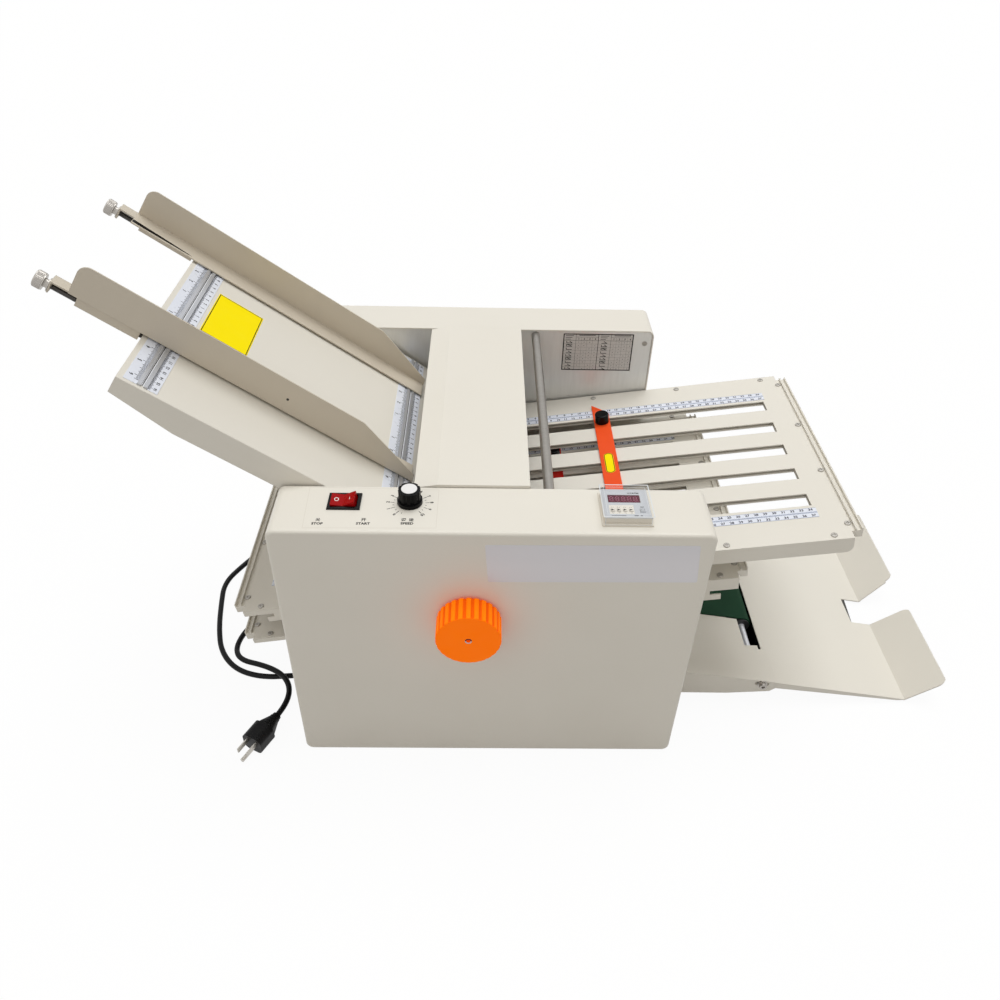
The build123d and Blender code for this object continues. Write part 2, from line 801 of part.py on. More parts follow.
pad_half = pad_width / 2
pad = block(feed_station - pad_length / 2, feed_station + pad_length / 2, feed_tyres[1] - pad_half,
            feed_tyres[1] + pad_half, -pad_depth, -seat_gap)
pad += block(feed_station - pad_length / 2 - 6, feed_station + pad_length / 2 + 6,
             feed_tyres[1] - pad_half - 6, feed_tyres[1] + pad_half + 6, -sheet - 3, -sheet)
nodes["separator_pad"] = table_frame * pad

# Switch body with its bezel, and the speed control under the same panel
opening_x = rocker_length / 2 + rocker_opening
opening_y = rocker_width / 2 + 0.5
bezel_top = cover_top + bezel_height
bezel = block(switch_x - bezel_length / 2, switch_x + bezel_length / 2, switch_y - bezel_width / 2,
              switch_y + bezel_width / 2, cover_top, bezel_top)
bezel = fillet(bezel.edges().group_by(Axis.Z)[-1], 0.8)
bezel += block(switch_x - switch_half_x + bolt_fit, switch_x + switch_half_x - bolt_fit,
               switch_y - switch_half_y + bolt_fit, switch_y + switch_half_y - bolt_fit,
               cover_top - 22, cover_top)
bezel -= block(switch_x - opening_x, switch_x + opening_x, switch_y - opening_y, switch_y + opening_y,
               cover_top - 14, bezel_top + 1)
rocker_axis_z = cover_top - 3.3
bezel -= rod(switch_x, rocker_axis_z, pivot_radius + running_fit, switch_y - pivot_half - seat_gap,
             switch_y + pivot_half + seat_gap)
control = post(speed_x, speed_y, 8.5, cover_top - cover_wall - 12, cover_top - cover_wall)
control += post(speed_x, speed_y, bush_neck, cover_top - cover_wall, cover_top)
speed_shaft = 3.0
control -= post(speed_x, speed_y, speed_shaft + running_fit, cover_top - cover_wall - 9, cover_top + 1)
nodes["panel_controls"] = pieces(bezel, control)

half = rocker_length / 2
rocker = prism([(-half, 0), (-half, 9), (0, 5.6), (half, 9), (half, 0), (0, -5)],
               -rocker_width / 2, rocker_width / 2)
rocker += rod(0, 0, pivot_radius, -pivot_half, pivot_half)
nodes["switch_rocker"] = Pos(switch_x, switch_y, rocker_axis_z) * Rot(0, -rocker_tilt, 0) * rocker

knob_base = cover_top + seat_gap
knob_top = cover_top + speed_height
speed = post(speed_x, speed_y, speed_skirt, knob_base, knob_base + 4.0)
speed += post(speed_x, speed_y, speed_radius, knob_base, knob_top)
for index in range(10):
    turn_x, turn_y = direction(36.0 * index)
    speed -= post(speed_x + (speed_radius + 1.6) * turn_x, speed_y + (speed_radius + 1.6) * turn_y, 2.4,
                  knob_base + 4.5, knob_top + 1)
speed += post(speed_x, speed_y, speed_cap, knob_top, knob_top + 0.8)
speed += post(speed_x, speed_y, speed_shaft, cover_top - cover_wall - 8, knob_base)
nodes["speed_knob"] = speed

# Counter in the panel, with keys under a clear lid
face_z = cover_top + counter_rise
counter = block(counter_x - counter_length / 2, counter_x + counter_length / 2,
                counter_y - counter_width / 2, counter_y + counter_width / 2, cover_top, cover_top + 1.4)
body_half_x = counter_length / 2 - lid_wall - 0.6
body_half_y = counter_width / 2 - lid_wall - 1.5
counter += block(counter_x - body_half_x, counter_x + body_half_x, counter_y - body_half_y,
                 counter_y + body_half_y, cover_top, face_z)
below = counter_half - bolt_fit
counter += block(counter_x - below, counter_x + below, counter_y - below, counter_y + below,
                 cover_top - counter_below, cover_top)
counter -= block(counter_x + window_place[0] - window_size[0] / 2, counter_x + window_place[0] + window_size[0] / 2,
                 counter_y + window_place[1] - window_size[1] / 2, counter_y + window_place[1] + window_size[1] / 2,
                 face_z - 0.6, face_z + 1)
keys = {f"counter_key_{index + 1}": offset for index, offset in enumerate(key_places)}
keys["counter_reset"] = reset_place
for name, offset in keys.items():
    size = key_size + (1.6 if name == "counter_reset" else 0)
    x, y = counter_x + offset, counter_y + key_row
    hole = size / 2 + 0.2
    counter -= block(x - hole, x + hole, y - hole, y + hole, face_z - 3.0, face_z + 1)
    nodes[name] = block(x - size / 2, x + size / 2, y - size / 2, y + size / 2,
                        face_z - 3.0 + key_travel + seat_gap, face_z + key_rise)
nodes["counter_body"] = counter

lid_z0 = cover_top + lid_base
lid_z1 = cover_top + lid_top
lid_x = counter_length / 2
lid_y = counter_width / 2
lid = block(counter_x - lid_x, counter_x + lid_x, counter_y - lid_y, counter_y + lid_y, lid_z0, lid_z1)
lid = fillet(lid.edges().filter_by(Axis.Z).group_by(Axis.Y)[0], 2.0)
lid = fillet(lid.edges().filter_by(Axis.X).group_by(Axis.Z)[0].sort_by(Axis.Y)[-1], lid_hinge_radius)
lid -= block(counter_x - lid_x + lid_wall, counter_x + lid_x - lid_wall, counter_y - lid_y + lid_wall,
             counter_y + lid_y - lid_wall, lid_z0 - 1, lid_z1 - lid_wall)
nodes["counter_lid"] = lid


def hull_outline(circles):
    """Corners where a taut belt leaves and meets each circle, going round anticlockwise."""
    arcs = []
    count = len(circles)
    for index, (x0, z0, r0) in enumerate(circles):
        x1, z1, r1 = circles[(index + 1) % count]
        gap = math.hypot(x1 - x0, z1 - z0)
        turn = math.atan2(z1 - z0, x1 - x0) - math.acos((r0 - r1) / gap)
        arcs.append(((x0 + r0 * math.cos(turn), z0 + r0 * math.sin(turn)),
                     (x1 + r1 * math.cos(turn), z1 + r1 * math.sin(turn)), turn))
    return arcs


def belt_line(circles):
    """Closed belt path round the circles: straight runs and arcs in the side view."""
    runs = hull_outline(circles)
    edges = []
    for index, (start, end, turn) in enumerate(runs):
        following = runs[(index + 1) % len(runs)]
        x, z, radius = circles[(index + 1) % len(circles)]
        sweep = (following[2] - turn) % (2 * math.pi)
        middle = turn + sweep / 2
        edges.append(Line(start, end))
        edges.append(ThreePointArc(end, (x + radius * math.cos(middle), z + radius * math.sin(middle)),
                                   following[0]))
    return Wire(edges)


def flat_belt(circles, thick, y0, y1):
    outer = [(x, z, radius + thick) for x, z, radius in circles]
    face = make_face(belt_line(outer)) - make_face(belt_line(circles))
    return Pos(0, y1, 0) * extrude(Plane.XZ * face, amount=y1 - y0)


inside_belt = belt_roller + running_fit
nodes["conveyor_belt"] = flat_belt([(*drive_place, inside_belt), (*idler_place, inside_belt)],
                                   belt_thick, belt_front, belt_rear)
belt_half = belt_height / 2
nodes["feed_belt"] = flat_belt([(*feed_place, feed_pulley + belt_seat), (*roller_places[0], feed_pulley + belt_seat)],
                               belt_height - belt_seat, feed_belt_y - belt_half, feed_belt_y + belt_half)
nodes["drive_belt"] = flat_belt([(*roller_places[5], drive_pulley + belt_seat), (*drive_place, drive_pulley + belt_seat),
                                 (*motor_place, motor_pulley + belt_seat)],
                                belt_height - belt_seat, drive_belt_y - belt_half, drive_belt_y + belt_half)

drive_roller = rod(*drive_place, belt_roller, belt_front - 2, belt_rear + 2)
drive_roller += rod(*drive_place, conveyor_shaft, front_plate_y - 3, drive_belt_y + pulley_half)
drive_roller += grooved_pulley(drive_place, drive_pulley, drive_belt_y)
nodes["conveyor_drive_roller"] = drive_roller
idler = rod(*idler_place, belt_roller, belt_front - 2, belt_rear + 2)
idler += rod(*idler_place, conveyor_shaft, tray_gap_front - ear_hold, tray_gap_rear + ear_hold)
nodes["conveyor_idler_roller"] = idler

motor_face = rear_plate_y + plate_thick
motor = rod(*motor_place, motor_radius, motor_face, motor_face + motor_thick)
motor = fillet(motor.edges().sort_by(Axis.Y)[-1], 3.0)
motor -= rod(*motor_place, motor_shaft + running_fit, motor_face + motor_wall, motor_face + motor_thick + 1)
motor -= rod(*motor_place, motor_radius - motor_wall, motor_face + motor_wall,
             motor_face + motor_thick - motor_wall)
nodes["motor"] = motor
rotor = rod(*motor_place, motor_radius - motor_wall - 1.0, motor_face + motor_wall + 1.0,
            motor_face + motor_thick - motor_wall - 1.0)
rotor += rod(*motor_place, motor_shaft, motor_face + motor_wall + seat_gap, drive_belt_y + pulley_half)
rotor += grooved_pulley(motor_place, motor_pulley, drive_belt_y)
nodes["motor_rotor"] = rotor


def delivery_tray():
    """Sloping tray between the side plates, with a sunk bed that carries the belt's upper run."""
    top = [(tray_start, tray_top(tray_start)), (tray_end, tray_top(tray_end))]
    under = [(x, z - sheet / tray_cos) for x, z in reversed(top)]
    body = prism(top + under, tray_front, tray_rear)
    end_low = tray_top(tray_end) - 16.0
    skirt = [(tray_start, tray_skirt_z), (tray_start, top[0][1]), (tray_end, top[1][1]),
             (tray_end, end_low + 5.0), (tray_end - 6.0, end_low), (tray_end - 60.0, tray_skirt_z - 2.0)]
    body += prism(skirt, tray_front, tray_front + sheet)
    body += prism(skirt, tray_rear - sheet, tray_rear)
    low = 0
    high = tray_top(tray_start) + 5
    cut = block(tray_start - 1, tray_gap_start + 1, tray_belt_front, tray_belt_rear, low, high)
    cut += block(tray_gap_start, tray_gap_end, tray_gap_front, tray_gap_rear, low, high)
    cut += block(tray_gap_end - 1, tray_end + 1, tray_gap_front, tray_gap_rear, low, high)
    body -= cut
    body -= rod(*drive_place, conveyor_shaft + 1.0, tray_front - 1, tray_rear + 1)
    ear_x, ear_z = idler_place
    ear_top = tray_top(ear_x + ear_half) - sheet / 2
    for y0, y1 in ((tray_gap_front - ear_hold, tray_gap_front + ear_reach),
                   (tray_gap_rear - ear_reach, tray_gap_rear + ear_hold)):
        body += block(ear_x - ear_half, ear_x + ear_half, y0, y1, ear_z - ear_half, ear_top)
        body -= rod(ear_x, ear_z, conveyor_shaft + running_fit, y0 - 1, y1 + 1)
    bed_drop = (belt_thick - belt_proud + seat_gap) / tray_cos
    bed_start = drive_x + belt_outer + bed_margin
    bed_end = idler_x - belt_outer - bed_margin
    bed = [(x, tray_top(x) - bed_drop) for x in (bed_start, bed_end)]
    bed += [(x, z - sheet / tray_cos) for x, z in reversed(bed)]
    body += prism(bed, tray_belt_front - bed_overlap, tray_belt_rear + bed_overlap)
    for x in (tray_boss_left, tray_boss_right):
        for y0, y1 in ((inner_front, tray_front), (tray_rear, inner_rear)):
            body += rod(x, tray_top(x) - tray_boss_drop, tray_boss_radius, y0, y1)
    for y0 in (tray_front - 1, tray_rear - sheet - 1):
        half_slot = bolt_slot / 2 - bolt_radius
        slot = block(-half_slot, half_slot, y0, y0 + sheet + 2, -bolt_radius, bolt_radius)
        for end in (-half_slot, half_slot):
            slot += rod(end, 0, bolt_radius, y0, y0 + sheet + 2)
        body -= Pos(bolt_x, 0, bolt_z) * Rot(0, tray_slope, 0) * slot
    return body


nodes["delivery_tray"] = delivery_tray()


def tray_extension():
    """End tray under the delivery tray's lip, bent up into a flap with a finger notch."""
    front = tray_front + sheet + seat_gap
    rear = tray_rear - sheet - seat_gap
    start_x = tray_gap_end + 1
    start_z = tray_top(start_x) - sheet / tray_cos - seat_gap - sheet - 0.5
    outline = [(start_x, start_z), (bend_x, bend_z), (flap_x, flap_z), (flap_x - sheet, flap_z + sheet * 0.6),
               (bend_x - sheet * 0.3, bend_z + sheet), (start_x, start_z + sheet)]
    body = prism(outline, front, rear)
    skirt = [(bolt_x - 14, bolt_z - 8), (bolt_x - 14, bolt_z + 1.5), (start_x, start_z + sheet / 2),
             (bend_x, bend_z + sheet / 2), (bend_x - 10, bend_z), (start_x + 10, start_z - end_tray_skirt)]
    for y0 in (front, rear - sheet):
        body += prism(skirt, y0, y0 + sheet)
        body -= rod(bolt_x, bolt_z, bolt_radius - 0.5, y0 - 1, y0 + sheet + 1)
    body -= block(notch_start, flap_x + 5, notch_front, notch_rear, -5, flap_z + 10)
    mouth = [(bend_x, notch_front), (bend_x, notch_rear), (flap_x, notch_rear + mouth_flare),
             (flap_x + 5, notch_rear + mouth_flare), (flap_x + 5, notch_front)]
    body -= Pos(0, 0, bend_z + 2) * flat_prism(mouth, 0, flap_z + 10)
    for y, inward in ((front, 1), (notch_front, -1), (notch_rear + mouth_flare, 1), (rear, -1)):
        centre_y = y + inward * flap_corner
        tip = block(flap_x - flap_corner, flap_x + 5, *sorted((y - inward * flap_corner, centre_y)), bend_z + 2, flap_z + 5)
        body -= tip - post(flap_x - flap_corner, centre_y, flap_corner, 0, flap_z + 6)
    return body


nodes["tray_extension"] = tray_extension()


def tray_bolt(front_side):
    """Socket bolt and washer outside the tray's skirt, threaded in the end tray."""
    face = tray_front if front_side else tray_rear
    out = -1 if front_side else 1
    washer = sorted((face + out * seat_gap, face + out * (seat_gap + 1.2)))
    head = sorted((face + out * (seat_gap + 1.2), face + out * (seat_gap + 5.5)))
    shank = sorted((face + out * seat_gap, face - out * (sheet + seat_gap + sheet + 4)))
    body = rod(bolt_x, bolt_z, 6.2, *washer) + rod(bolt_x, bolt_z, 4.4, *head)
    socket = sorted((head[0] - 1 if front_side else head[1] - 2.5, head[0] + 2.5 if front_side else head[1] + 1))
    body -= rod(bolt_x, bolt_z, 2.1, *socket)
    return body + rod(bolt_x, bolt_z, bolt_radius - 0.5, *shank)


nodes["tray_bolts"] = pieces(tray_bolt(True), tray_bolt(False))

heads = [head for spec in plates for head in plate_screw_heads(spec)]
for x in (corner_screw_left, cover_length - corner_screw_right):
    for z in (corner_screw_low, cover_top - corner_screw_drop):
        head = Pos(x, rear_plate_y, z) * Rot(90, 0, 0) * screw_head(0, 0, 0)
        heads.append(head)
        heads.append(Pos(x, inner_front, z) * Rot(-90, 0, 0) * screw_head(0, 0, 0))
nodes["screws"] = pieces(*heads)

gland = bar(gland_y, gland_z, gland_radius, -6, 0)
gland += bar(gland_y, gland_z, gland_thread, -gland_reach, cover_wall + 4)
nodes["cord_gland"] = gland

route = [Vector(*point) for point in (*cord_points, plug_end)]
radii = []
for before, here, after in zip(route, route[1:], route[2:]):
    turn = math.radians((here - before).get_angle(after - here))
    shorter = min((here - before).length, (after - here).length)
    radii.append(0.45 * shorter / math.tan(turn / 2))
path = FilletPolyline(*route, radius=radii)
cord_section = Plane(origin=route[0], z_dir=route[1] - route[0]) * Circle(cord_radius)
cord = sweep(cord_section, path=path)
nodes["power_cord"] = cord
print("cord bend radii", [round(radius) for radius in radii])
print("cord length", round(path.length), "volume ratio",
      round(cord.volume / (path.length * math.pi * cord_radius ** 2), 4))


def power_plug():
    """Moulded plug with a tapered neck, two flat blades and a round earth pin."""
    start = Plane(origin=route[-1], z_dir=route[-1] - route[-2], x_dir=(0, 0, 1))
    neck = loft([start * Circle(cord_radius + 1.5),
                 start.offset(plug_neck) * RectangleRounded(plug_height * 0.8, plug_width * 0.9, 6)])
    shell = extrude(start.offset(plug_neck) * RectangleRounded(plug_height, plug_width, 8), amount=plug_body - plug_neck)
    body = neck + shell
    tip = start.offset(plug_body)
    for side in (-6.35, 6.35):
        body += tip.location * Pos(4, side, plug_blade / 2) * Box(6.4, 1.6, plug_blade)
    return body + tip.location * Pos(-7, 0, plug_blade / 2 + 1.5) * Cylinder(2.4, plug_blade + 3)


nodes["power_plug"] = power_plug()

# The origin is the middle of the foot, measured without the cord
cord_nodes = ("power_cord", "power_plug", "cord_gland")
bodies = [shape for name, shape in nodes.items() if name not in cord_nodes]
extent = pieces(*bodies).bounding_box()
shift = Pos(-(extent.min.X + extent.max.X) / 2, -(extent.min.Y + extent.max.Y) / 2, 0)
print("shift", shift.position, "extent", extent.size)

os.makedirs("parts", exist_ok=True)
for name, shape in nodes.items():
    solids = [shift * solid for solid in shape.solids()]
    export_step(solids[0] if len(solids) == 1 else Compound(solids), f"parts/{name}.step")
print(len(nodes), "nodes")
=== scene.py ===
import math

import bpy
from mathutils import Matrix, Vector


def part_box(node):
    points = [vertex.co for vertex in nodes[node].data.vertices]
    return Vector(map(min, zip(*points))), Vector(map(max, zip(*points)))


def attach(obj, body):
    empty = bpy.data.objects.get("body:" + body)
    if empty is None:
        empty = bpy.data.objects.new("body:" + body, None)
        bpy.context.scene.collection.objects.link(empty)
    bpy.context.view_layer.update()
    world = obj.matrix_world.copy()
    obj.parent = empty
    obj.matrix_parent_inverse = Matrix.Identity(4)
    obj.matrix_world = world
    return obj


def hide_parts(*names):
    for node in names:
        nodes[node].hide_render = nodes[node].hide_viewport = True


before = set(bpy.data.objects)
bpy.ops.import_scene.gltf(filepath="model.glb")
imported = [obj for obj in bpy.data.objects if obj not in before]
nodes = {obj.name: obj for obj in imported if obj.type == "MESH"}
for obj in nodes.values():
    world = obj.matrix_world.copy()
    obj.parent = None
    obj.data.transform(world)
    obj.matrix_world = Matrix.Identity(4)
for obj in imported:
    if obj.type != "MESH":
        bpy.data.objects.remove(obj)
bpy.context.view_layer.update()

# Places are in millimetres from the front cover's left end, face and foot, as in the part's source
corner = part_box("front_cover")[0]
cover_top = 344.3
handwheel_axis = (194.0, 0.0, 228.0)
handwheel_face = -31.0
handwheel_hole = 2.2
plate_mid = 243.0
roller_step = 32.17
roller_column_lean = math.radians(45)
infeed_lean = math.radians(55)
slope = math.radians(34.94)
table_length = 386.4
table_low_end = (185.952, 246.002)
feed_station, feed_height = 355.0, 18.3
knob_end = -92.0
screw_drop = 5.0
seat_gap = 0.3

# Each guide: name, place of its screw, edge of its foot beside the paper, and the way to the paper
guide_rows = (("front", 158.0, 178.0, 1), ("rear", 350.0, 330.0, -1))

# How far prints stand off the surface that they lie on
lift = 0.06


def at(x, y, z):
    """A place in the row frame, in metres."""
    return Vector((corner[0] + x / 1000, corner[1] + y / 1000, z / 1000))


# Camera
camera_place = (207.35, -607.42, 873.22)
camera_turn, camera_down, camera_roll = 0.0253, 0.6764, 0.0270
forward = Vector((math.sin(camera_turn) * math.cos(camera_down),
                  math.cos(camera_turn) * math.cos(camera_down), -math.sin(camera_down)))
level = Vector((math.cos(camera_turn), -math.sin(camera_turn), 0))
upright = level.cross(forward)
right = level * math.cos(camera_roll) + upright * math.sin(camera_roll)
up = upright * math.cos(camera_roll) - level * math.sin(camera_roll)
camera = bpy.data.objects.new("camera", bpy.data.cameras.new("camera"))
bpy.context.scene.collection.objects.link(camera)
camera.data.sensor_width = 36.0
camera.data.lens = 30.577
camera.data.clip_end = 50.0
turn = Matrix((right, up, -forward)).transposed().to_4x4()
camera.matrix_world = Matrix.Translation(at(*camera_place)) @ turn
bpy.context.scene.camera = camera
bpy.context.scene.view_settings.view_transform = "Standard"


# Materials
def colour(red, green, blue):
    """A colour given as it looks on a screen, 0 to 255, as the shader's numbers."""
    def straight(value):
        value /= 255
        return value / 12.92 if value <= 0.04045 else ((value + 0.055) / 1.055) ** 2.4

    return (straight(red), straight(green), straight(blue), 1)


class Shader:
    """One material's node tree, with short calls for the nodes that the materials share."""

    def __init__(self, name, base, rough, metal=0.0):
        self.material = bpy.data.materials.new(name)
        self.material.use_nodes = True
        self.tree = self.material.node_tree
        self.surface = self.tree.nodes["Principled BSDF"]
        self.place = self.node("ShaderNodeTexCoord").outputs["Object"]
        self.base = base
        self.tone = None
        self.set("Base Color", base)
        self.set("Roughness", rough)
        self.set("Metallic", metal)
        self.material.diffuse_color = base

    def set(self, socket, value):
        self.surface.inputs[socket].default_value = value

    def node(self, kind, **settings):
        made = self.tree.nodes.new(kind)
        for key, value in settings.items():
            setattr(made, key, value)
        return made

    def link(self, output, socket):
        self.tree.links.new(output, socket)

    def stretch(self, scale):
        """The place on the surface, scaled apart along X, Y and Z."""
        mapping = self.node("ShaderNodeMapping")
        mapping.inputs["Scale"].default_value = scale
        self.link(self.place, mapping.inputs["Vector"])
        return mapping.outputs["Vector"]

    def noise(self, scale, detail=3.0, vector=None):
        made = self.node("ShaderNodeTexNoise")
        made.inputs["Scale"].default_value = scale
        made.inputs["Detail"].default_value = detail
        self.link(vector or self.place, made.inputs["Vector"])
        return made.outputs["Fac"]

    def spread(self, value, low, high, start=0.3, end=0.7):
        made = self.node("ShaderNodeMapRange")
        for socket, number in zip(("From Min", "From Max", "To Min", "To Max"), (start, end, low, high)):
            made.inputs[socket].default_value = number
        self.link(value, made.inputs["Value"])
        return made.outputs["Result"]

    def math(self, operation, first, second=0.0):
        made = self.node("ShaderNodeMath", operation=operation)
        for socket, value in zip(made.inputs, (first, second)):
            if isinstance(value, (int, float)):
                socket.default_value = value
            else:
                self.link(value, socket)
        return made.outputs["Value"]

    def blend(self, share, first, second):
        """Mixes two colours, each a colour or an output."""
        made = self.node("ShaderNodeMix", data_type="RGBA")
        self.link(share, made.inputs[0])
        for socket, value in ((made.inputs[6], first), (made.inputs[7], second)):
            if isinstance(value, tuple):
                socket.default_value = value
            else:
                self.link(value, socket)
        return made.outputs[2]

    def paint(self, output):
        self.tone = output
        self.link(output, self.surface.inputs["Base Color"])

    def vary(self, share, other):
        """Mixes another colour in by a mask."""
        self.paint(self.blend(share, self.tone or self.base, other))

    def rough(self, output):
        self.link(output, self.surface.inputs["Roughness"])

    def bump(self, height, strength, distance, soft=0.0):
        made = self.node("ShaderNodeBump")
        made.inputs["Strength"].default_value = strength
        made.inputs["Distance"].default_value = distance
        self.link(height, made.inputs["Height"])
        if soft:
            edge = self.node("ShaderNodeBevel", samples=4)
            edge.inputs["Radius"].default_value = soft
            self.link(edge.outputs["Normal"], made.inputs["Normal"])
        self.link(made.outputs["Normal"], self.surface.inputs["Normal"])
        return made

    def part(self, axis):
        """One coordinate of the place, in metres."""
        made = self.node("ShaderNodeSeparateXYZ")
        self.link(self.place, made.inputs["Vector"])
        return made.outputs[axis]

    def past(self, value, limit, sharp=0.00005):
        """Mask that turns from 0 to 1 where the value passes the limit."""
        return self.spread(value, 0.0, 1.0, limit - sharp, limit + sharp)

    def from_line(self, point, axis):
        """Distance in metres from a line through the point along X, Y or Z."""
        total = None
        for index in range(3):
            if index != axis:
                off = self.math("SUBTRACT", self.part(index), point[index])
                square = self.math("MULTIPLY", off, off)
                total = square if total is None else self.math("ADD", total, square)
        return self.math("SQRT", total)


def powder_coat(name, base, dirt, depth=1.0):
    """Painted sheet: fine orange peel, faint patches, and dust that settles unevenly."""
    made = Shader(name, base, 0.42)
    made.vary(made.spread(made.noise(3.0, 4), 0.0, 0.35), dirt)
    made.vary(made.spread(made.noise(900.0, 1), 0.0, 0.10), dirt)
    made.rough(made.spread(made.noise(12.0, 4), 0.36, 0.50))
    peel = made.math("ADD", made.noise(1400.0, 2), made.noise(420.0, 2))
    made.bump(peel, 0.10 * depth, 0.00020, 0.0007)
    made.set("Specular IOR Level", 0.45)
    return made


cream = powder_coat("cream_powder_coat", colour(232, 228, 218), colour(217, 212, 201))
# Painted shade: the paper guides take a darker copy of the cream paint, standing in for the shade that
# falls on them
shaded_cream = powder_coat("cream_guides_shaded", colour(211, 202, 186), colour(195, 185, 168))

zinc = Shader("zinc_plated_sheet", colour(222, 222, 220), 0.42, 0.8)
grain = zinc.noise(260.0, 4, zinc.stretch((1.0, 1.0, 0.12)))
zinc.vary(zinc.spread(grain, 0.0, 0.2), colour(196, 195, 192))
zinc.vary(zinc.spread(zinc.noise(5.0, 3), 0.0, 0.3), colour(230, 230, 228))
zinc.rough(zinc.spread(grain, 0.38, 0.50))
zinc.bump(grain, 0.05, 0.0001, 0.0004)


def turned_steel(name, base, rough, along):
    """Bright turned bar: fine rings round the shaft and a few darker smears."""
    made = Shader(name, base, rough, 0.95)
    scale = [30.0, 30.0, 30.0]
    scale[along] = 4000.0
    rings = made.noise(1.0, 2, made.stretch(scale))
    made.vary(made.spread(rings, 0.0, 0.35), tuple(value * 0.6 for value in base[:3]) + (1,))
    made.vary(made.spread(made.noise(60.0, 4), 0.0, 0.25), tuple(value * 0.5 for value in base[:3]) + (1,))
    made.rough(made.spread(rings, rough * 0.8, rough * 1.4))
    made.bump(rings, 0.05, 0.00005)
    return made


steel = turned_steel("turned_steel", colour(154, 150, 144), 0.34, 1)
nickel = Shader("nickel_plate", colour(174, 169, 163), 0.3, 0.85)
nickel.rough(nickel.spread(nickel.noise(220.0, 3), 0.24, 0.38))
nickel.vary(nickel.spread(nickel.noise(90.0, 4), 0.0, 0.25), colour(146, 141, 134))
nickel.bump(nickel.noise(1500.0, 2), 0.02, 0.00005, 0.0002)
screw_steel = Shader("dull_screw_plate", colour(178, 174, 167), 0.4, 0.5)
screw_steel.vary(screw_steel.spread(screw_steel.noise(300.0, 3), 0.0, 0.3), colour(146, 142, 136))
black_steel = Shader("blackened_thread", colour(48, 46, 45), 0.4, 0.7)

aluminium = Shader("drawn_aluminium", colour(196, 198, 203), 0.3, 0.6)
drawn = aluminium.noise(1.0, 2, aluminium.stretch((900.0, 12.0, 900.0)))
aluminium.vary(aluminium.spread(drawn, 0.0, 0.5), colour(170, 172, 178))
aluminium.rough(aluminium.spread(drawn, 0.25, 0.42))
aluminium.bump(drawn, 0.05, 0.00005)

# Painted highlight: a brighter copy of the rails' drawn aluminium, for the lit floor of the rails' slots
lit_slot_silver = Shader("rail_slot_floor_lit", colour(236, 237, 240), 0.35, 0.3)
lit_slot_silver.vary(lit_slot_silver.spread(lit_slot_silver.noise(60.0, 3), 0.0, 0.3), colour(214, 216, 220))


def plastic(name, base, other, rough, grain=700.0, strength=0.12):
    """Moulded plastic with a fine spark-eroded grain."""
    made = Shader(name, base, rough)
    made.vary(made.spread(made.noise(30.0, 4), 0.0, 0.4), other)
    made.rough(made.spread(made.noise(80.0, 3), rough * 0.85, rough * 1.25))
    made.bump(made.noise(grain, 2), strength, 0.0001, 0.0004)
    return made


orange = plastic("orange_plastic", colour(255, 144, 0), colour(253, 132, 0), 0.5, 500.0, 0.06)
# Painted shade in the handwheel's flutes: darker orange inside the flute ring's radius and behind the front
# face, where the grooves fall in shade
flute_shading = orange.math("SUBTRACT", 1.0, orange.past(orange.from_line(at(*handwheel_axis), 1), 0.033, 0.0004))
deep = orange.past(orange.part(1), at(0, -30.8, 0).y, 0.0008)
orange.vary(orange.math("MULTIPLY", orange.math("MULTIPLY", flute_shading, deep), 0.75), colour(196, 58, 0))
# Painted glow: the handwheel gives off orange light of its own, though it is no lamp
orange.set("Emission Color", colour(255, 88, 0))
orange.set("Emission Strength", 0.38)
orange.set("Specular IOR Level", 0.10)
orange.set("Subsurface Weight", 0.08)
orange.set("Subsurface Radius", (0.006, 0.002, 0.0005))
black = plastic("black_plastic", colour(22, 22, 23), colour(34, 34, 35), 0.4)
gloss_black = plastic("gloss_black_plastic", colour(10, 10, 11), colour(17, 17, 18), 0.22, 300.0, 0.03)
red = plastic("red_switch_plastic", colour(160, 2, 6), colour(138, 0, 3), 0.25, 200.0, 0.02)
red.set("Specular IOR Level", 0.1)
grey_plastic = plastic("grey_plastic", colour(232, 226, 214), colour(224, 218, 206), 0.38)
grey_plastic.vary(grey_plastic.past(grey_plastic.part(2), (cover_top + 7.7) / 1000), colour(196, 200, 206))
key_white = plastic("white_key_plastic", colour(232, 228, 218), colour(220, 214, 204), 0.35)
rubber = plastic("black_rubber", colour(34, 33, 33), colour(52, 51, 50), 0.62, 900.0, 0.2)
cord_skin = plastic("cord_jacket", colour(13, 13, 14), colour(22, 22, 23), 0.4, 1100.0, 0.1)
stop_paint = plastic("orange_stop_paint", colour(246, 86, 34), colour(238, 76, 26), 0.4, 900.0, 0.1)
stop_paint.set("Specular IOR Level", 0.15)
# Painted shade: stops 2 to 4 take a darker copy of the stop paint, standing in for the shade that they lie
# in
shaded_stop_paint = plastic("red_stop_paint_shaded", colour(186, 26, 14), colour(172, 18, 10), 0.4, 900.0, 0.1)
shaded_stop_paint.set("Specular IOR Level", 0.15)
for dark in (gloss_black, cord_skin, rubber, black):
    dark.set("Specular IOR Level", 0.15)

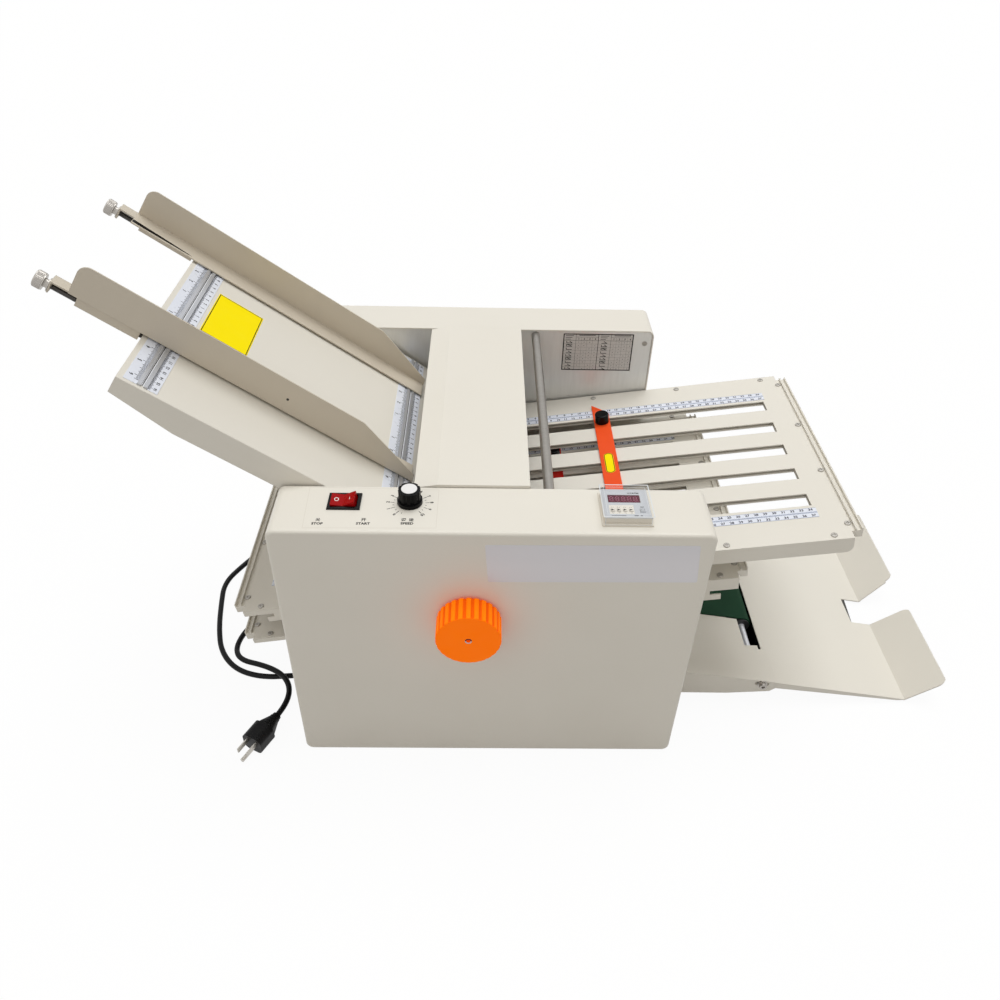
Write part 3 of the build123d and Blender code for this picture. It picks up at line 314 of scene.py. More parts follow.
strip = plastic("printed_strip_film", colour(232, 236, 246), colour(220, 226, 240), 0.3, 1200.0, 0.05)
ink = plastic("black_ink", colour(14, 14, 17), colour(24, 24, 28), 0.6, 900.0, 0.02)
ink.set("Specular IOR Level", 0.1)
blue_ink = plastic("blue_grey_ink", colour(30, 34, 54), colour(42, 46, 66), 0.5, 900.0, 0.02)
pale_blue = plastic("pale_blue_ink", colour(110, 125, 160), colour(124, 138, 170), 0.5, 900.0, 0.02)
white_ink = plastic("white_ink", colour(240, 236, 232), colour(226, 222, 218), 0.45, 900.0, 0.02)
yellow = plastic("yellow_label_film", colour(254, 232, 0), colour(252, 228, 0), 0.5, 1000.0, 0.04)
# Painted glow: the yellow film gives off a little light of its own
yellow.set("Emission Color", colour(255, 232, 0))
yellow.set("Emission Strength", 0.06)
yellow.set("Specular IOR Level", 0.08)
silver_film = Shader("silver_blue_film", colour(224, 222, 226), 0.35, 0.1)
sheen = silver_film.noise(1.0, 3, silver_film.stretch((1.5, 3.0, 14.0)))
silver_film.vary(silver_film.spread(sheen, 0.0, 0.6), colour(210, 210, 216))
silver_film.rough(silver_film.spread(sheen, 0.24, 0.38))
silver_film.bump(silver_film.noise(1600.0, 2), 0.04, 0.00005)
chart_film = plastic("chart_film", colour(206, 203, 200), colour(194, 190, 187), 0.35, 900.0, 0.04)
window = Shader("dark_red_window", colour(84, 14, 38), 0.2)
window.vary(window.spread(window.noise(40.0, 2), 0.0, 0.5), colour(104, 30, 56))
window.set("Specular IOR Level", 0.1)
digit = Shader("unlit_digits", colour(160, 76, 104), 0.3)
digit.vary(digit.spread(digit.noise(50.0, 2), 0.0, 0.5), colour(140, 62, 90))
clear = Shader("clear_plastic", colour(244, 246, 248), 0.08)
clear.set("Alpha", 0.025)
clear.set("IOR", 1.47)
clear.rough(clear.spread(clear.noise(60.0, 3), 0.06, 0.14))
clear.bump(clear.noise(140.0, 2), 0.04, 0.0001, 0.0005)

# Painted highlight for the edges of the clear lid
lid_highlight = Shader("clear_lid_highlight", colour(226, 229, 231), 0.3)
lid_highlight.vary(lid_highlight.spread(lid_highlight.noise(120.0, 3), 0.0, 0.4), colour(198, 202, 206))

film_line = Shader("clear_film_edge", colour(214, 208, 196), 0.5)
film_line.vary(film_line.spread(film_line.noise(60.0, 3), 0.0, 0.5), colour(224, 219, 207))

# Woven delivery belt: two crossed sets of threads
belt = Shader("woven_green_belt", colour(24, 60, 40), 0.6)
belt.set("Specular IOR Level", 0.08)
thread_pitch = 0.0009
warp = belt.math("SINE", belt.math("MULTIPLY", belt.part(1), 2 * math.pi / thread_pitch))
weft = belt.math("SINE", belt.math("MULTIPLY", belt.part(0), 2 * math.pi / thread_pitch))
weave = belt.math("MULTIPLY", warp, weft)
belt.vary(belt.spread(weave, 0.0, 0.5, -1.0, 1.0), colour(40, 80, 56))
belt.vary(belt.spread(belt.noise(25.0, 4), 0.0, 0.4), colour(18, 46, 30))
belt.bump(weave, 0.35, 0.0002)

# Thread of the long clamping screws: ridges along the table's slope
ridge_pitch = 0.0008
ridge_scale = 2 * math.pi / ridge_pitch


def down_table(shader, scale=1.0):
    """Distance down the table's slope, as an output."""
    return shader.math("ADD", shader.math("MULTIPLY", shader.part(0), math.cos(slope) * scale),
                       shader.math("MULTIPLY", shader.part(2), -math.sin(slope) * scale))


ridges = black_steel.math("SINE", down_table(black_steel, ridge_scale))
black_steel.vary(black_steel.spread(ridges, 0.0, 0.8, -1.0, 1.0), colour(96, 92, 88))
black_steel.bump(ridges, 0.5, 0.0003)


def tyred(name, centre, radius, first, second):
    """Steel shaft with a rubber or painted sleeve outside a radius from its axis."""
    made = Shader(name, first, 0.5)
    outer = made.past(made.from_line(centre, 1), radius)
    made.vary(outer, second)
    made.link(made.spread(outer, 0.95, 0.0, 0.0, 1.0), made.surface.inputs["Metallic"])
    fine = made.noise(1.0, 2, made.stretch((40.0, 900.0, 40.0)))
    made.vary(made.spread(fine, 0.0, 0.25), colour(60, 58, 58))
    made.rough(made.spread(outer, 0.32, 0.7, 0.0, 1.0))
    made.bump(made.noise(900.0, 2), 0.1, 0.0001)
    return made


# Belt end roller: dark drum, and a shaft in a brighter copy of turned steel, a painted highlight that keeps
# it bright in the shade under the tray
idler = Shader("belt_end_roller_lit_shaft", colour(232, 234, 240), 0.34, 0.3)
idler_low, idler_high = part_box("conveyor_idler_roller")
idler.vary(idler.past(idler.from_line((idler_low + idler_high) / 2, 1), 0.0045), colour(66, 66, 68))
idler.rough(idler.spread(idler.noise(1.0, 2, idler.stretch((40.0, 900.0, 40.0))), 0.28, 0.42))

wheel_x, wheel_z = handwheel_axis[0], handwheel_axis[2]
column = (wheel_x, wheel_x + roller_step * math.cos(roller_column_lean))
roller_places = [(wheel_x + roller_step * math.cos(infeed_lean),
                  wheel_z + roller_step * math.sin(infeed_lean))]
for index in range(5):
    roller_places.append((column[index % 2], wheel_z - index * roller_step * math.sin(roller_column_lean)))

painted = ("front_cover", "rear_cover", "feed_table", "hood", "delivery_tray", "tray_extension",
           "fold_plate_1", "fold_plate_2", "fold_plate_3", "fold_plate_4")
looks = {
    "front_side_plate": zinc, "rear_side_plate": zinc, "rods_and_studs": steel, "rubber_feet": rubber,
    "screws": screw_steel, "feed_rails": aluminium, "printed_rulers": strip, "front_paper_guide": shaded_cream,
    "rear_paper_guide": shaded_cream, "separator_pad": rubber, "shaft_bushes": steel, "handwheel": orange,
    "panel_controls": gloss_black, "switch_rocker": red, "counter_body": grey_plastic, "counter_lid": clear,
    "counter_reset": grey_plastic, "motor_rotor": steel, "motor": black, "drive_belt": rubber,
    "feed_belt": rubber, "conveyor_belt": belt, "conveyor_drive_roller": steel,
    "conveyor_idler_roller": idler, "tray_bolts": nickel, "cord_gland": black,
}
for name in painted:
    looks[name] = cream
for index in range(4):
    # Stops 2 to 4 take the darker copy of the stop paint, which is painted shade
    looks[f"paper_stop_{index + 1}"] = shaded_stop_paint if index else stop_paint
    looks[f"stop_knob_{index + 1}"] = gloss_black
    looks[f"counter_key_{index + 1}"] = key_white
past_shaft = 0.0061
shaft_grey = colour(176, 172, 166)
for index, (x, z) in enumerate(roller_places):
    looks[f"fold_roller_{index + 1}"] = tyred(f"fold_roller_{index + 1}_skin", at(x, 0, z), past_shaft,
                                              shaft_grey, colour(70, 68, 70))
table_x = table_low_end[0] - table_length * math.cos(slope)
table_z = table_low_end[1] + table_length * math.sin(slope)


def table(s, y, h=0.0):
    """Place on the feed table: s down the slope from its top edge, h above the sheet, in millimetres."""
    return at(table_x + s * math.cos(slope) + h * math.sin(slope), y,
              table_z - s * math.sin(slope) + h * math.cos(slope))


looks["feed_roller"] = tyred("feed_roller_skin", table(feed_station, 0, feed_height), past_shaft,
                             shaft_grey, colour(54, 52, 54))

# Guide knobs: nickel in front of the screw's free length, black thread behind
knob_look = Shader("clamp_knob_and_screw", colour(178, 173, 166), 0.32, 0.85)
along = down_table(knob_look)
start_point = table(0, 0)
offset = start_point.x * math.cos(slope) - start_point.z * math.sin(slope)
thread = knob_look.past(along, offset + knob_end / 1000)
knob_look.vary(thread, colour(46, 44, 43))
pitch = knob_look.math("SINE", knob_look.math("MULTIPLY", along, ridge_scale))
knob_look.vary(knob_look.math("MULTIPLY", thread, knob_look.spread(pitch, 0.0, 0.6, -1.0, 1.0)),
               colour(100, 96, 92))
knob_look.bump(knob_look.math("MULTIPLY", thread, pitch), 0.4, 0.0003, 0.0002)
looks["front_guide_knob"] = knob_look
looks["rear_guide_knob"] = knob_look

# Speed knob: black fluted body with a white disc on its top
dial = plastic("speed_knob_plastic", colour(7, 7, 8), colour(13, 13, 14), 0.3, 300.0, 0.04)
dial.set("Specular IOR Level", 0.1)
dial.vary(dial.past(dial.part(2), (cover_top + 16.8) / 1000), colour(238, 238, 238))
looks["speed_knob"] = dial

# Plug: black shell, with bright blades past its face
route_end, route_before = at(-42.5, 36.6, 13), at(-31.5, 58, 13)
heading = (route_end - route_before).normalized()
plug_skin = plastic("plug_plastic", colour(14, 14, 15), colour(24, 24, 25), 0.36, 700.0, 0.1)
plug_skin.set("Specular IOR Level", 0.15)
ahead = None
for axis in range(2):
    off = plug_skin.math("SUBTRACT", plug_skin.part(axis), route_end[axis])
    run = plug_skin.math("MULTIPLY", off, heading[axis])
    ahead = run if ahead is None else plug_skin.math("ADD", ahead, run)
plug_face = 0.0441
blade = plug_skin.past(ahead, plug_face)
plug_skin.vary(blade, colour(190, 186, 178))
plug_skin.link(blade, plug_skin.surface.inputs["Metallic"])
looks["power_plug"] = plug_skin

for name, shader in looks.items():
    for held in nodes[name].material_slots:
        held.material = shader.material


def add(name, body, shader, points, faces, smooth=False):
    """A new piece from points in metres, which rides on a body."""
    mesh = bpy.data.meshes.new(name)
    mesh.from_pydata([tuple(point) for point in points], [], faces)
    mesh.update()
    if smooth:
        mesh.polygons.foreach_set("use_smooth", [True] * len(mesh.polygons))
    piece = bpy.data.objects.new(name, mesh)
    bpy.context.scene.collection.objects.link(piece)
    mesh.materials.append(shader.material)
    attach(piece, body)
    return piece


outlines = {}


def lettering(words):
    """Points and faces of words one unit high, centred."""
    if words not in outlines:
        curve = bpy.data.curves.new("lettering", "FONT")
        curve.body = words
        curve.align_x = "CENTER"
        curve.align_y = "CENTER"
        curve.resolution_u = 2
        curve.offset = 0.035 if words.isascii() else 0.018
        held = bpy.data.objects.new("lettering", curve)
        mesh = bpy.data.meshes.new_from_object(held)
        points = [point.co.copy() for point in mesh.vertices]
        high = max((point.y for point in points), default=1)
        low = min((point.y for point in points), default=0)
        size = high - low if high > low else 1
        outlines[words] = ([(point.x / size, (point.y - (high + low) / 2) / size) for point in points],
                           [tuple(face.vertices) for face in mesh.polygons])
        bpy.data.objects.remove(held)
        bpy.data.meshes.remove(mesh)
        bpy.data.curves.remove(curve)
    return outlines[words]


class Print:
    """Printed marks on one surface, gathered into one thin mesh."""

    def __init__(self, surface):
        self.surface = surface
        self.points = []
        self.faces = []

    def ring(self, places):
        start = len(self.points)
        self.points += [self.surface(*place) for place in places]
        self.faces.append(tuple(range(start, start + len(places))))

    def bar(self, u0, u1, v0, v1):
        self.ring([(u0, v0), (u1, v0), (u1, v1), (u0, v1)])

    def line(self, start, end, width):
        """Straight mark between two places."""
        run = Vector(end) - Vector(start)
        side = Vector((-run.y, run.x)).normalized() * width / 2
        corners = [Vector(start) + side, Vector(start) - side, Vector(end) - side, Vector(end) + side]
        self.ring([tuple(place) for place in corners])

    def hoop(self, u, v, radius, width, count=24, stretch=1.0):
        """Round mark, open in its middle."""
        inner, outer = radius - width / 2, radius + width / 2
        turns = [2 * math.pi * index / count for index in range(count + 1)]
        for first, second in zip(turns, turns[1:]):
            self.ring([(u + inner * math.cos(first), v + inner * stretch * math.sin(first)),
                       (u + outer * math.cos(first), v + outer * stretch * math.sin(first)),
                       (u + outer * math.cos(second), v + outer * stretch * math.sin(second)),
                       (u + inner * math.cos(second), v + inner * stretch * math.sin(second))])

    def border(self, u0, u1, v0, v1, width):
        self.bar(u0, u1, v0, v0 + width)
        self.bar(u0, u1, v1 - width, v1)
        self.bar(u0, u0 + width, v0 + width, v1 - width)
        self.bar(u1 - width, u1, v0 + width, v1 - width)

    def write(self, words, u, v, height, turned=0.0):
        """Words centred on a place, with capitals as high as the height."""
        points, faces = lettering(words)
        cosine, sine = math.cos(turned), math.sin(turned)
        start = len(self.points)
        for x, y in points:
            x, y = x * height, y * height
            self.points.append(self.surface(u + x * cosine - y * sine, v + x * sine + y * cosine))
        self.faces += [tuple(start + corner for corner in face) for face in faces]

    def piece(self, name, body, shader, slot=None):
        return add(name, body, shader, self.points, self.faces)


def film(name, body, shader, surface, outline, thick):
    """Thin stuck-on film with a rounded outline: surface(u, v, height) gives its places."""
    count = len(outline)
    points = [surface(u, v, 0.0) for u, v in outline] + [surface(u, v, thick) for u, v in outline]
    faces = [tuple(range(count))[::-1], tuple(range(count, 2 * count))]
    for index in range(count):
        following = (index + 1) % count
        faces.append((index, following, following + count, index + count))
    return add(name, body, shader, points, faces)


def rounded(u0, u1, v0, v1, radius, count=5):
    """Outline of a rectangle with round corners."""
    places = []
    for centre_u, centre_v, quarter in ((u1 - radius, v1 - radius, 0), (u0 + radius, v1 - radius, 1),
                                        (u0 + radius, v0 + radius, 2), (u1 - radius, v0 + radius, 3)):
        for index in range(count + 1):
            turned = math.pi / 2 * (quarter + index / count)
            places.append((centre_u + radius * math.cos(turned), centre_v + radius * math.sin(turned)))
    return places


def on_top(u, v):
    return at(u, v, cover_top + lift)


def on_front(u, v, height):
    return at(u, -height, v)


# Blank film on the front cover
corners = [(209.5, 330.0), (213.0, 280.8), (421.5, 282.8), (417.2, 331.6)]
corner_cut = 2.0
places = []
for index in range(4):
    before, here, after = (Vector(corners[(index + turn_on) % 4]) for turn_on in (-1, 0, 1))
    first = here + (before - here).normalized() * corner_cut
    last = here + (after - here).normalized() * corner_cut
    for share in (0.0, 0.25, 0.5, 0.75, 1.0):
        low, high = first.lerp(here, share), here.lerp(last, share)
        places.append(tuple(low.lerp(high, share)))
film("front_blank_film", "frame", silver_film, on_front, places, 0.15)

# Faint edge of the clear film over the switch and the dial
film_edge = Print(on_top)
sheet_corners = [(33.0, 68.6), (35.8, 5.8), (162.6, 7.4), (162.7, 66.4)]
for index in range(4):
    film_edge.line(sheet_corners[index], sheet_corners[(index + 1) % 4], 0.35)
film_edge.piece("panel_film_edge", "frame", film_line, "white_strip")

# Words by the switch and the speed knob, and the dial's scale
panel = Print(on_top)
for u, v, words in ((48.8, 12.4, "STOP"), (92.5, 13.0, "START"), (134.5, 13.8, "SPEED")):
    panel.write(words, u, v, 3.5)
for u, v, sign in ((48.8, 18.0, "关"), (92.5, 18.6, "开"), (130.8, 19.2, "调"), (138.2, 19.2, "速")):
    panel.write(sign, u, v, 4.7)
dial_middle = Vector((135.0, 44.0))
dial_start, dial_step = 230.5, 14.06
for index in range(-1, 21):
    turned = math.radians(dial_start - dial_step * index)
    spoke = Vector((math.cos(turned), math.sin(turned)))
    main = index % 2 == 0
    panel.line(dial_middle + spoke * 15.4, dial_middle + spoke * (19.5 if main else 17.0),
               0.7 if index in (0, 20) else 0.5)
    if main:
        place = dial_middle + spoke * 21.8
        panel.write(str(index // 2), place.x, place.y, 3.4, turned - math.pi / 2)
panel.piece("panel_print", "frame", ink, "black_plastic")

# Marks on the rocker: a ring on its low half, a bar on its high half
rocker_x, rocker_y, rocker_z = 70.7, 45.5, cover_top - 3.3
rocker_tilt = math.radians(8.0)
rocker_waist, rocker_rise = 5.6, 3.4 / 12.0


def on_rocker(u, v):
    z = rocker_waist + abs(u) * rocker_rise + 0.07
    return at(rocker_x + u * math.cos(rocker_tilt) - z * math.sin(rocker_tilt), rocker_y + v,
              rocker_z + u * math.sin(rocker_tilt) + z * math.cos(rocker_tilt))


marks = Print(on_rocker)
marks.hoop(-6.6, 0.3, 1.9, 0.7, 28, 1.25)
marks.bar(6.1, 6.7, -1.8, 2.0)
marks.piece("rocker_marks", "rocker", white_ink, "white_strip")

# Counter: printed face, window with dim digits, key panel with arrows
cx, cy, face_z = 347.2, 38.0, 352.3
window_depth, window_thick = 0.58, 0.3
key_film, key_rise = 0.08, 1.0


def counter(height):
    """Surface of the counter at a height above its face."""
    return lambda u, v, h=0.0: at(cx + u, cy + v, face_z + height + h)


film("counter_window", "frame", window, counter(-window_depth), rounded(-17.1, 14.5, 1.7, 13.3, 0.8),
     window_thick)
digits = Print(counter(window_thick + lift - window_depth))
for index in range(5):
    left = -15.4 + index * 5.9
    width, height, bar = 3.7, 7.4, 0.75
    low = 3.8
    for v in (low, low + height / 2 - bar / 2, low + height - bar):
        digits.bar(left + bar * 1.2, left + width - bar * 1.2, v, v + bar)
    for u in (left, left + width - bar):
        digits.bar(u, u + bar, low + bar * 1.1, low + height / 2 - bar * 0.6)
        digits.bar(u, u + bar, low + height / 2 + bar * 0.6, low + height - bar * 1.1)
    digits.bar(left + width + 0.4, left + width + 1.0, low, low + 0.6)
digits.piece("counter_digits", "frame", digit, "red_plastic")

# The film round the keys: cells between them, and a band above and below
keys = (-14.2, -8.2, -2.2, 3.8)
film_left, film_right, key_low, key_high, key_half = -17.4, 6.8, -12.65, -8.75, 1.95
edges = [film_left] + [key + side * key_half for key in keys for side in (-1, 1)] + [film_right]
panel_cells = [(edges[index], edges[index + 1], key_low, key_high) for index in range(0, len(edges), 2)]
panel_cells += [(film_left, film_right, -16.2, key_low), (film_left, film_right, key_high, -2.6)]
for index, (u0, u1, v0, v1) in enumerate(panel_cells):
    film(f"counter_key_film_{index + 1}", "frame", key_white, counter(0.0),
         [(u0, v0), (u1, v0), (u1, v1), (u0, v1)], key_film)
key_print = Print(counter(key_film + lift))
for key in keys:
    key_print.line((key - 1.3, -6.2), (key - 0.4, -5.6), 0.35)
    key_print.line((key + 0.2, -6.3), (key + 1.4, -5.7), 0.35)
    key_print.hoop(key, -14.5, 0.8, 0.25, 12, 0.6)
key_print.piece("counter_key_print", "frame", ink, "black_plastic")
face_print = Print(counter(lift))
face_print.write("COUNTER", 8.6, 16.3, 1.9)
face_print.write("RST", 15.2, -5.4, 1.6)
face_print.line((-16, -18.6), (-2, -18.6), 0.5)
face_print.line((6, -18.6), (10, -18.6), 0.9)
face_print.line((12, -18.6), (14, -18.6), 0.9)
face_print.piece("counter_print", "frame", ink, "black_plastic")
for index, key in enumerate(keys):
    arrow = Print(counter(key_rise + lift))
    arrow.ring([(key - 1.4, -12.0), (key + 1.5, -10.7), (key - 1.4, -9.4)])
    arrow.piece(f"key_arrow_{index + 1}", f"button_key_{index + 1}", ink, "black_plastic")
reset_mark = Print(counter(key_rise + lift))
reset_mark.border(13.4, 17.0, -12.0, -9.4, 0.3)
reset_mark.piece("reset_mark", "button_reset", ink, "black_plastic")

# Painted highlights: light lines along the edges of the clear lid
lid_face, lid_half, lid_deep = cover_top + 11.7, 24.8, 25.5
lid_print = Print(lambda u, v: at(cx + u, cy + v, lid_face + lift))
lid_print.border(-lid_half, lid_half, -lid_deep, lid_deep, 1.1)
lid_print.border(-20.6, 20.6, -21.0, 21.4, 0.35)
lid_print.piece("lid_edge_lines", "lid", lid_highlight, "clear_plastic")
front_print = Print(lambda u, v: at(cx + u, cy - lid_deep - lift, cover_top + v))
for u0, u1, v0, v1 in ((-22.8, 22.8, 1.7, 2.3), (-22.8, 22.8, 10.4, 11.5),
                       (-22.8, -22.2, 2.3, 10.4), (22.2, 22.8, 2.3, 10.4)):
    front_print.bar(u0, u1, v0, v1)
front_print.piece("lid_front_highlight_lines", "lid", lid_highlight, "clear_plastic")


# Fold chart on the rear side plate: two halves, each with small folded shapes and a table
def on_chart(u, v, height=0.0):
    return at(u, 415.0 - height, v)


label_thick = 0.12
chart_left, chart_right, chart_low, chart_high = 312.4, 406.6, 283.4, 338.6
chart_half, shape_column, number_column, row_high = 47.1, 17.0, 7.4, 5.02
film("fold_chart", "frame", chart_film, on_chart, rounded(312.0, 407.0, 283.0, 339.0, 0.8), label_thick)
chart = Print(lambda u, v: on_chart(u, v, label_thick + lift))
chart.border(chart_left, chart_right, chart_low, chart_high, 1.3)
chart.line((359.5, chart_low), (359.5, chart_high), 0.7)
chart.line((chart_left, 328.6), (chart_right, 328.6), 0.4)
for half in range(2):
    left = chart_left + half * chart_half
    inner = left + shape_column
    chart.line((inner, chart_low), (inner, chart_high), 0.35)
    chart.line((inner, 333.6), (left + chart_half, 333.6), 0.25)
    for row in range(3):
        chart.line((left + 3.0, 335.6 - row * 2.6), (left + 14.0 - row * 2, 335.6 - row * 2.6), 0.7)
    chart.line((left + 21.0, 336.2), (left + 43.0, 336.2), 0.8)
    for place in range(4):
        chart.write(str(place + 1), left + 20.8 + place * number_column, 331.1, 2.6)
    for row in range(9):
        level_z = chart_low + (row + 1) * row_high
        if row < 8:
            chart.line((left, level_z), (left + chart_half, level_z), 0.16)
        middle_z = level_z - 2.5
        kind = (row + half) % 4
        chart.line((left + 4.5, middle_z - 1.3), (left + 12.5, middle_z - 1.3), 0.8)
        if kind != 1:
            chart.line((left + 4.8, middle_z - 1.3), (left + 4.8, middle_z + 1.5), 0.8)
        if kind != 2:
            chart.line((left + 12.2, middle_z - 1.3), (left + 8.5 - kind, middle_z + 1.5), 0.8)
        if kind == 3:
            chart.line((left + 4.5, middle_z + 1.4), (left + 12.5, middle_z + 1.4), 0.8)
        for place in range(4):
            if (row * 3 + place * 2 + half) % 5:
                u = left + 20.8 + place * number_column
                chart.ring([(u - 0.6, middle_z), (u, middle_z - 0.6),
                            (u + 0.6, middle_z), (u, middle_z + 0.6)])
    for place in range(1, 4):
        u = inner + place * number_column
        chart.line((u, chart_low), (u, 333.6), 0.16)
chart.piece("fold_chart_print", "frame", ink, "black_plastic")

# Blank yellow label on the feed table, with a thin border
film("table_yellow_label", "frame", yellow, table, rounded(42.6, 97.0, 210.5, 299.5, 1.0), label_thick)
edge_line = Print(lambda u, v: table(u, v, label_thick + lift))
edge_line.border(43.6, 96.0, 211.5, 298.5, 0.9)
edge_line.piece("table_label_border", "frame", ink, "black_plastic")

# Scale bands beside the table's two rails: inches on the wide one, centimetres on the narrow one
ruler_thick = 0.4
rail_edge = 5.0
scale_start, scale_end, scale_zero = 78.0, 405.0, plate_mid - 1.0
rail_start, rail_end, slot_half, slot_thick = 79.0, 404.0, 1.25, 0.2


def mark_length(mark, steps):
    """Length of a scale's mark: steps holds (every how many marks, length), the longest first."""
    for every, length in steps:
        if mark % every == 0:
            return length


for index, station in enumerate((23.5, 296.5)):
    band = Print(lambda u, v: table(-v, u, ruler_thick + lift))
    start = rail_edge - station
    for mark in range(-100, 101):
        y = scale_zero + mark * 25.4 / 16
        if scale_start < y < scale_end:
            long = mark_length(mark, ((16, 6.2), (8, 5.2), (4, 4.4), (1, 3.4)))
            band.line((y, start), (y, start + long), 0.6)
            if mark % 16 == 0 and mark:
                band.write(str(abs(mark) // 16), y - 2.2, start + 8.8, 4.2)
    start = -rail_edge - station
    for mark in range(-165, 166):
        y = scale_zero + mark
        if scale_start < y < scale_end:
            long = mark_length(mark, ((10, 4.0), (5, 3.3), (1, 2.5)))
            band.line((y, start), (y, start - long), 0.45)
            if mark % 10 == 0:
                band.write(str(abs(mark) // 10), y, start - 6.3, 3.4)
    band.piece(f"table_scale_{index + 1}", "frame", ink, "black_plastic")
    # The slot's film is the brighter copy of the aluminium, a painted highlight, with a dark line down its
    # middle
    left, right = station - slot_half, station + slot_half
    film(f"table_rail_slot_{index + 1}", "frame", lit_slot_silver, table,
         [(left, rail_start), (right, rail_start), (right, rail_end), (left, rail_end)], slot_thick)
    groove = Print(lambda u, v: table(u, v, slot_thick + lift))
    groove.bar(station - 0.35, station + 0.35, rail_start, rail_end)
    groove.piece(f"table_rail_groove_{index + 1}", "frame", black, "black_plastic")

# Fold plates: far end, slope, mouth and shift of the rulers, with the same values as in the part's source
plates = ((606.7, 279.6, 8.2, 236.0, 0.0), (-67.0, 156.0, 190.0, 172.0, 0.0),
          (493.7, 218.6, 8.2, 236.0, -7.5), (-62.9, 110.0, 190.0, 172.0, 0.0))


def plate_place(index, along, across, above):
    """Place on a fold plate, in millimetres from its mouth, its middle and its top face."""
    end_x, end_z, angle, mouth, row_shift = plates[index]
    cosine, sine = math.cos(math.radians(angle)), math.sin(math.radians(angle))
    upper = 1 if cosine > 0 else -1
    length = (end_x - mouth) / cosine
    mouth_z = end_z - length * sine
    return at(mouth + along * cosine - above * sine * upper, plate_mid + across,
              mouth_z + along * sine + above * cosine * upper)


row_offset, row_edge, number_offset, row_start, past_row = 121.8, 7.6, 4.9, 12.0, 26.2
for index, (end_x, end_z, angle, mouth, row_shift) in enumerate(plates):
    length = (end_x - mouth) / math.cos(math.radians(angle))
    way = 1 if angle < 90 else -1
    numbers = Print(lambda u, v: plate_place(index, u * way, v, ruler_thick + lift))
    ticks = Print(lambda u, v: plate_place(index, u * way, v, ruler_thick + lift))
    for middle in (row_shift + row_offset, row_shift - row_offset):
        for mark in range(10, int(length) - 24):
            place = mark + 2.0
            if place > length - past_row - 0.3:
                break
            long = mark_length(mark, ((10, 2.3), (5, 1.8), (1, 1.3)))
            ticks.line((place * way, middle - long), (place * way, middle + long), 0.32)
            if mark % 10 == 0:
                numbers.write(str(mark // 10), place * way, middle + number_offset, 3.8)
                numbers.write(str(mark // 10 + 3), place * way + 1.0, middle - number_offset, 3.8)
        row_end = (length - past_row) * way
        ticks.line((row_start * way, middle), (row_end, middle), 0.5)
        for side in (-row_edge, row_edge):
            ticks.line((row_start * way, middle + side), (row_end, middle + side), 0.3)
    numbers.piece(f"plate_{index + 1}_numbers", "frame", blue_ink, "black_plastic")
    ticks.piece(f"plate_{index + 1}_ticks", "frame", pale_blue, "black_plastic")

# Blank yellow oval on the first stop, with a thin dark line round it
stop_thick = 2.0
stop_face = ruler_thick + seat_gap + stop_thick
stop_middle = 130.5
oval = rounded(stop_middle - 5.8, stop_middle + 5.8, -15.0, 26.0, 5.7, 9)
film("stop_yellow_oval", "stop_1", yellow, lambda u, v, h: plate_place(0, u, v, stop_face + h), oval,
     label_thick)
loop = Print(lambda u, v: plate_place(0, u, v, stop_face + label_thick + lift))
inner_ring = rounded(stop_middle - 4.6, stop_middle + 4.6, -13.8, 24.8, 4.5, 9)
outer_ring = rounded(stop_middle - 5.4, stop_middle + 5.4, -14.6, 25.6, 5.3, 9)
for index in range(len(inner_ring)):
    following = (index + 1) % len(inner_ring)
    loop.ring([inner_ring[index], outer_ring[index], outer_ring[following], inner_ring[following]])
loop.piece("stop_oval_line", "stop_1", ink, "black_plastic")


def revolve(name, body, shader, origin, axis, profile, count=48, ripple=0.0, ripples=0):
    """Turned piece: profile is (distance along the axis, radius) in millimetres from the origin."""
    axis = Vector(axis).normalized()
    side = axis.cross(Vector((0, 1, 0) if abs(axis.y) < 0.9 else (1, 0, 0))).normalized()
    other = axis.cross(side)
    points, faces = [], []
    for along_axis, radius in profile:
        for index in range(count):
            turned = 2 * math.pi * index / count
            wave = ripple * math.cos(ripples * turned) if radius > ripple * 2 else 0
            reach = (radius + wave) / 1000
            points.append(origin + axis * along_axis / 1000 + side * reach * math.cos(turned)
                          + other * reach * math.sin(turned))
    for row in range(len(profile) - 1):
        for index in range(count):
            following = (index + 1) % count
            faces.append((row * count + index, row * count + following,
                          (row + 1) * count + following, (row + 1) * count + index))
    faces.append(tuple(range(count))[::-1])
    faces.append(tuple(range((len(profile) - 1) * count, len(profile) * count)))
    return add(name, body, shader, points, faces)


# Painted shadow: a dark pan under the belt's end roller, hung from the tray on both sides of its gap,
# stands in for the shade seen through the gap
pan_sheet, pan_front, pan_rear, pan_low, pan_left, pan_right = 0.8, 122.7, 366.0, 10.5, 544.0, 572.0
floor_top, end_left, end_right = pan_low + pan_sheet, pan_left + 2.0, pan_right - 1.2
tray_start, tray_height, tray_fall = 464.7, 56.3, math.tan(math.radians(9.3))


def under_tray(x):
    """Height just under the delivery tray's sloping sheet."""
    return tray_height - (x - tray_start) * tray_fall - pan_sheet


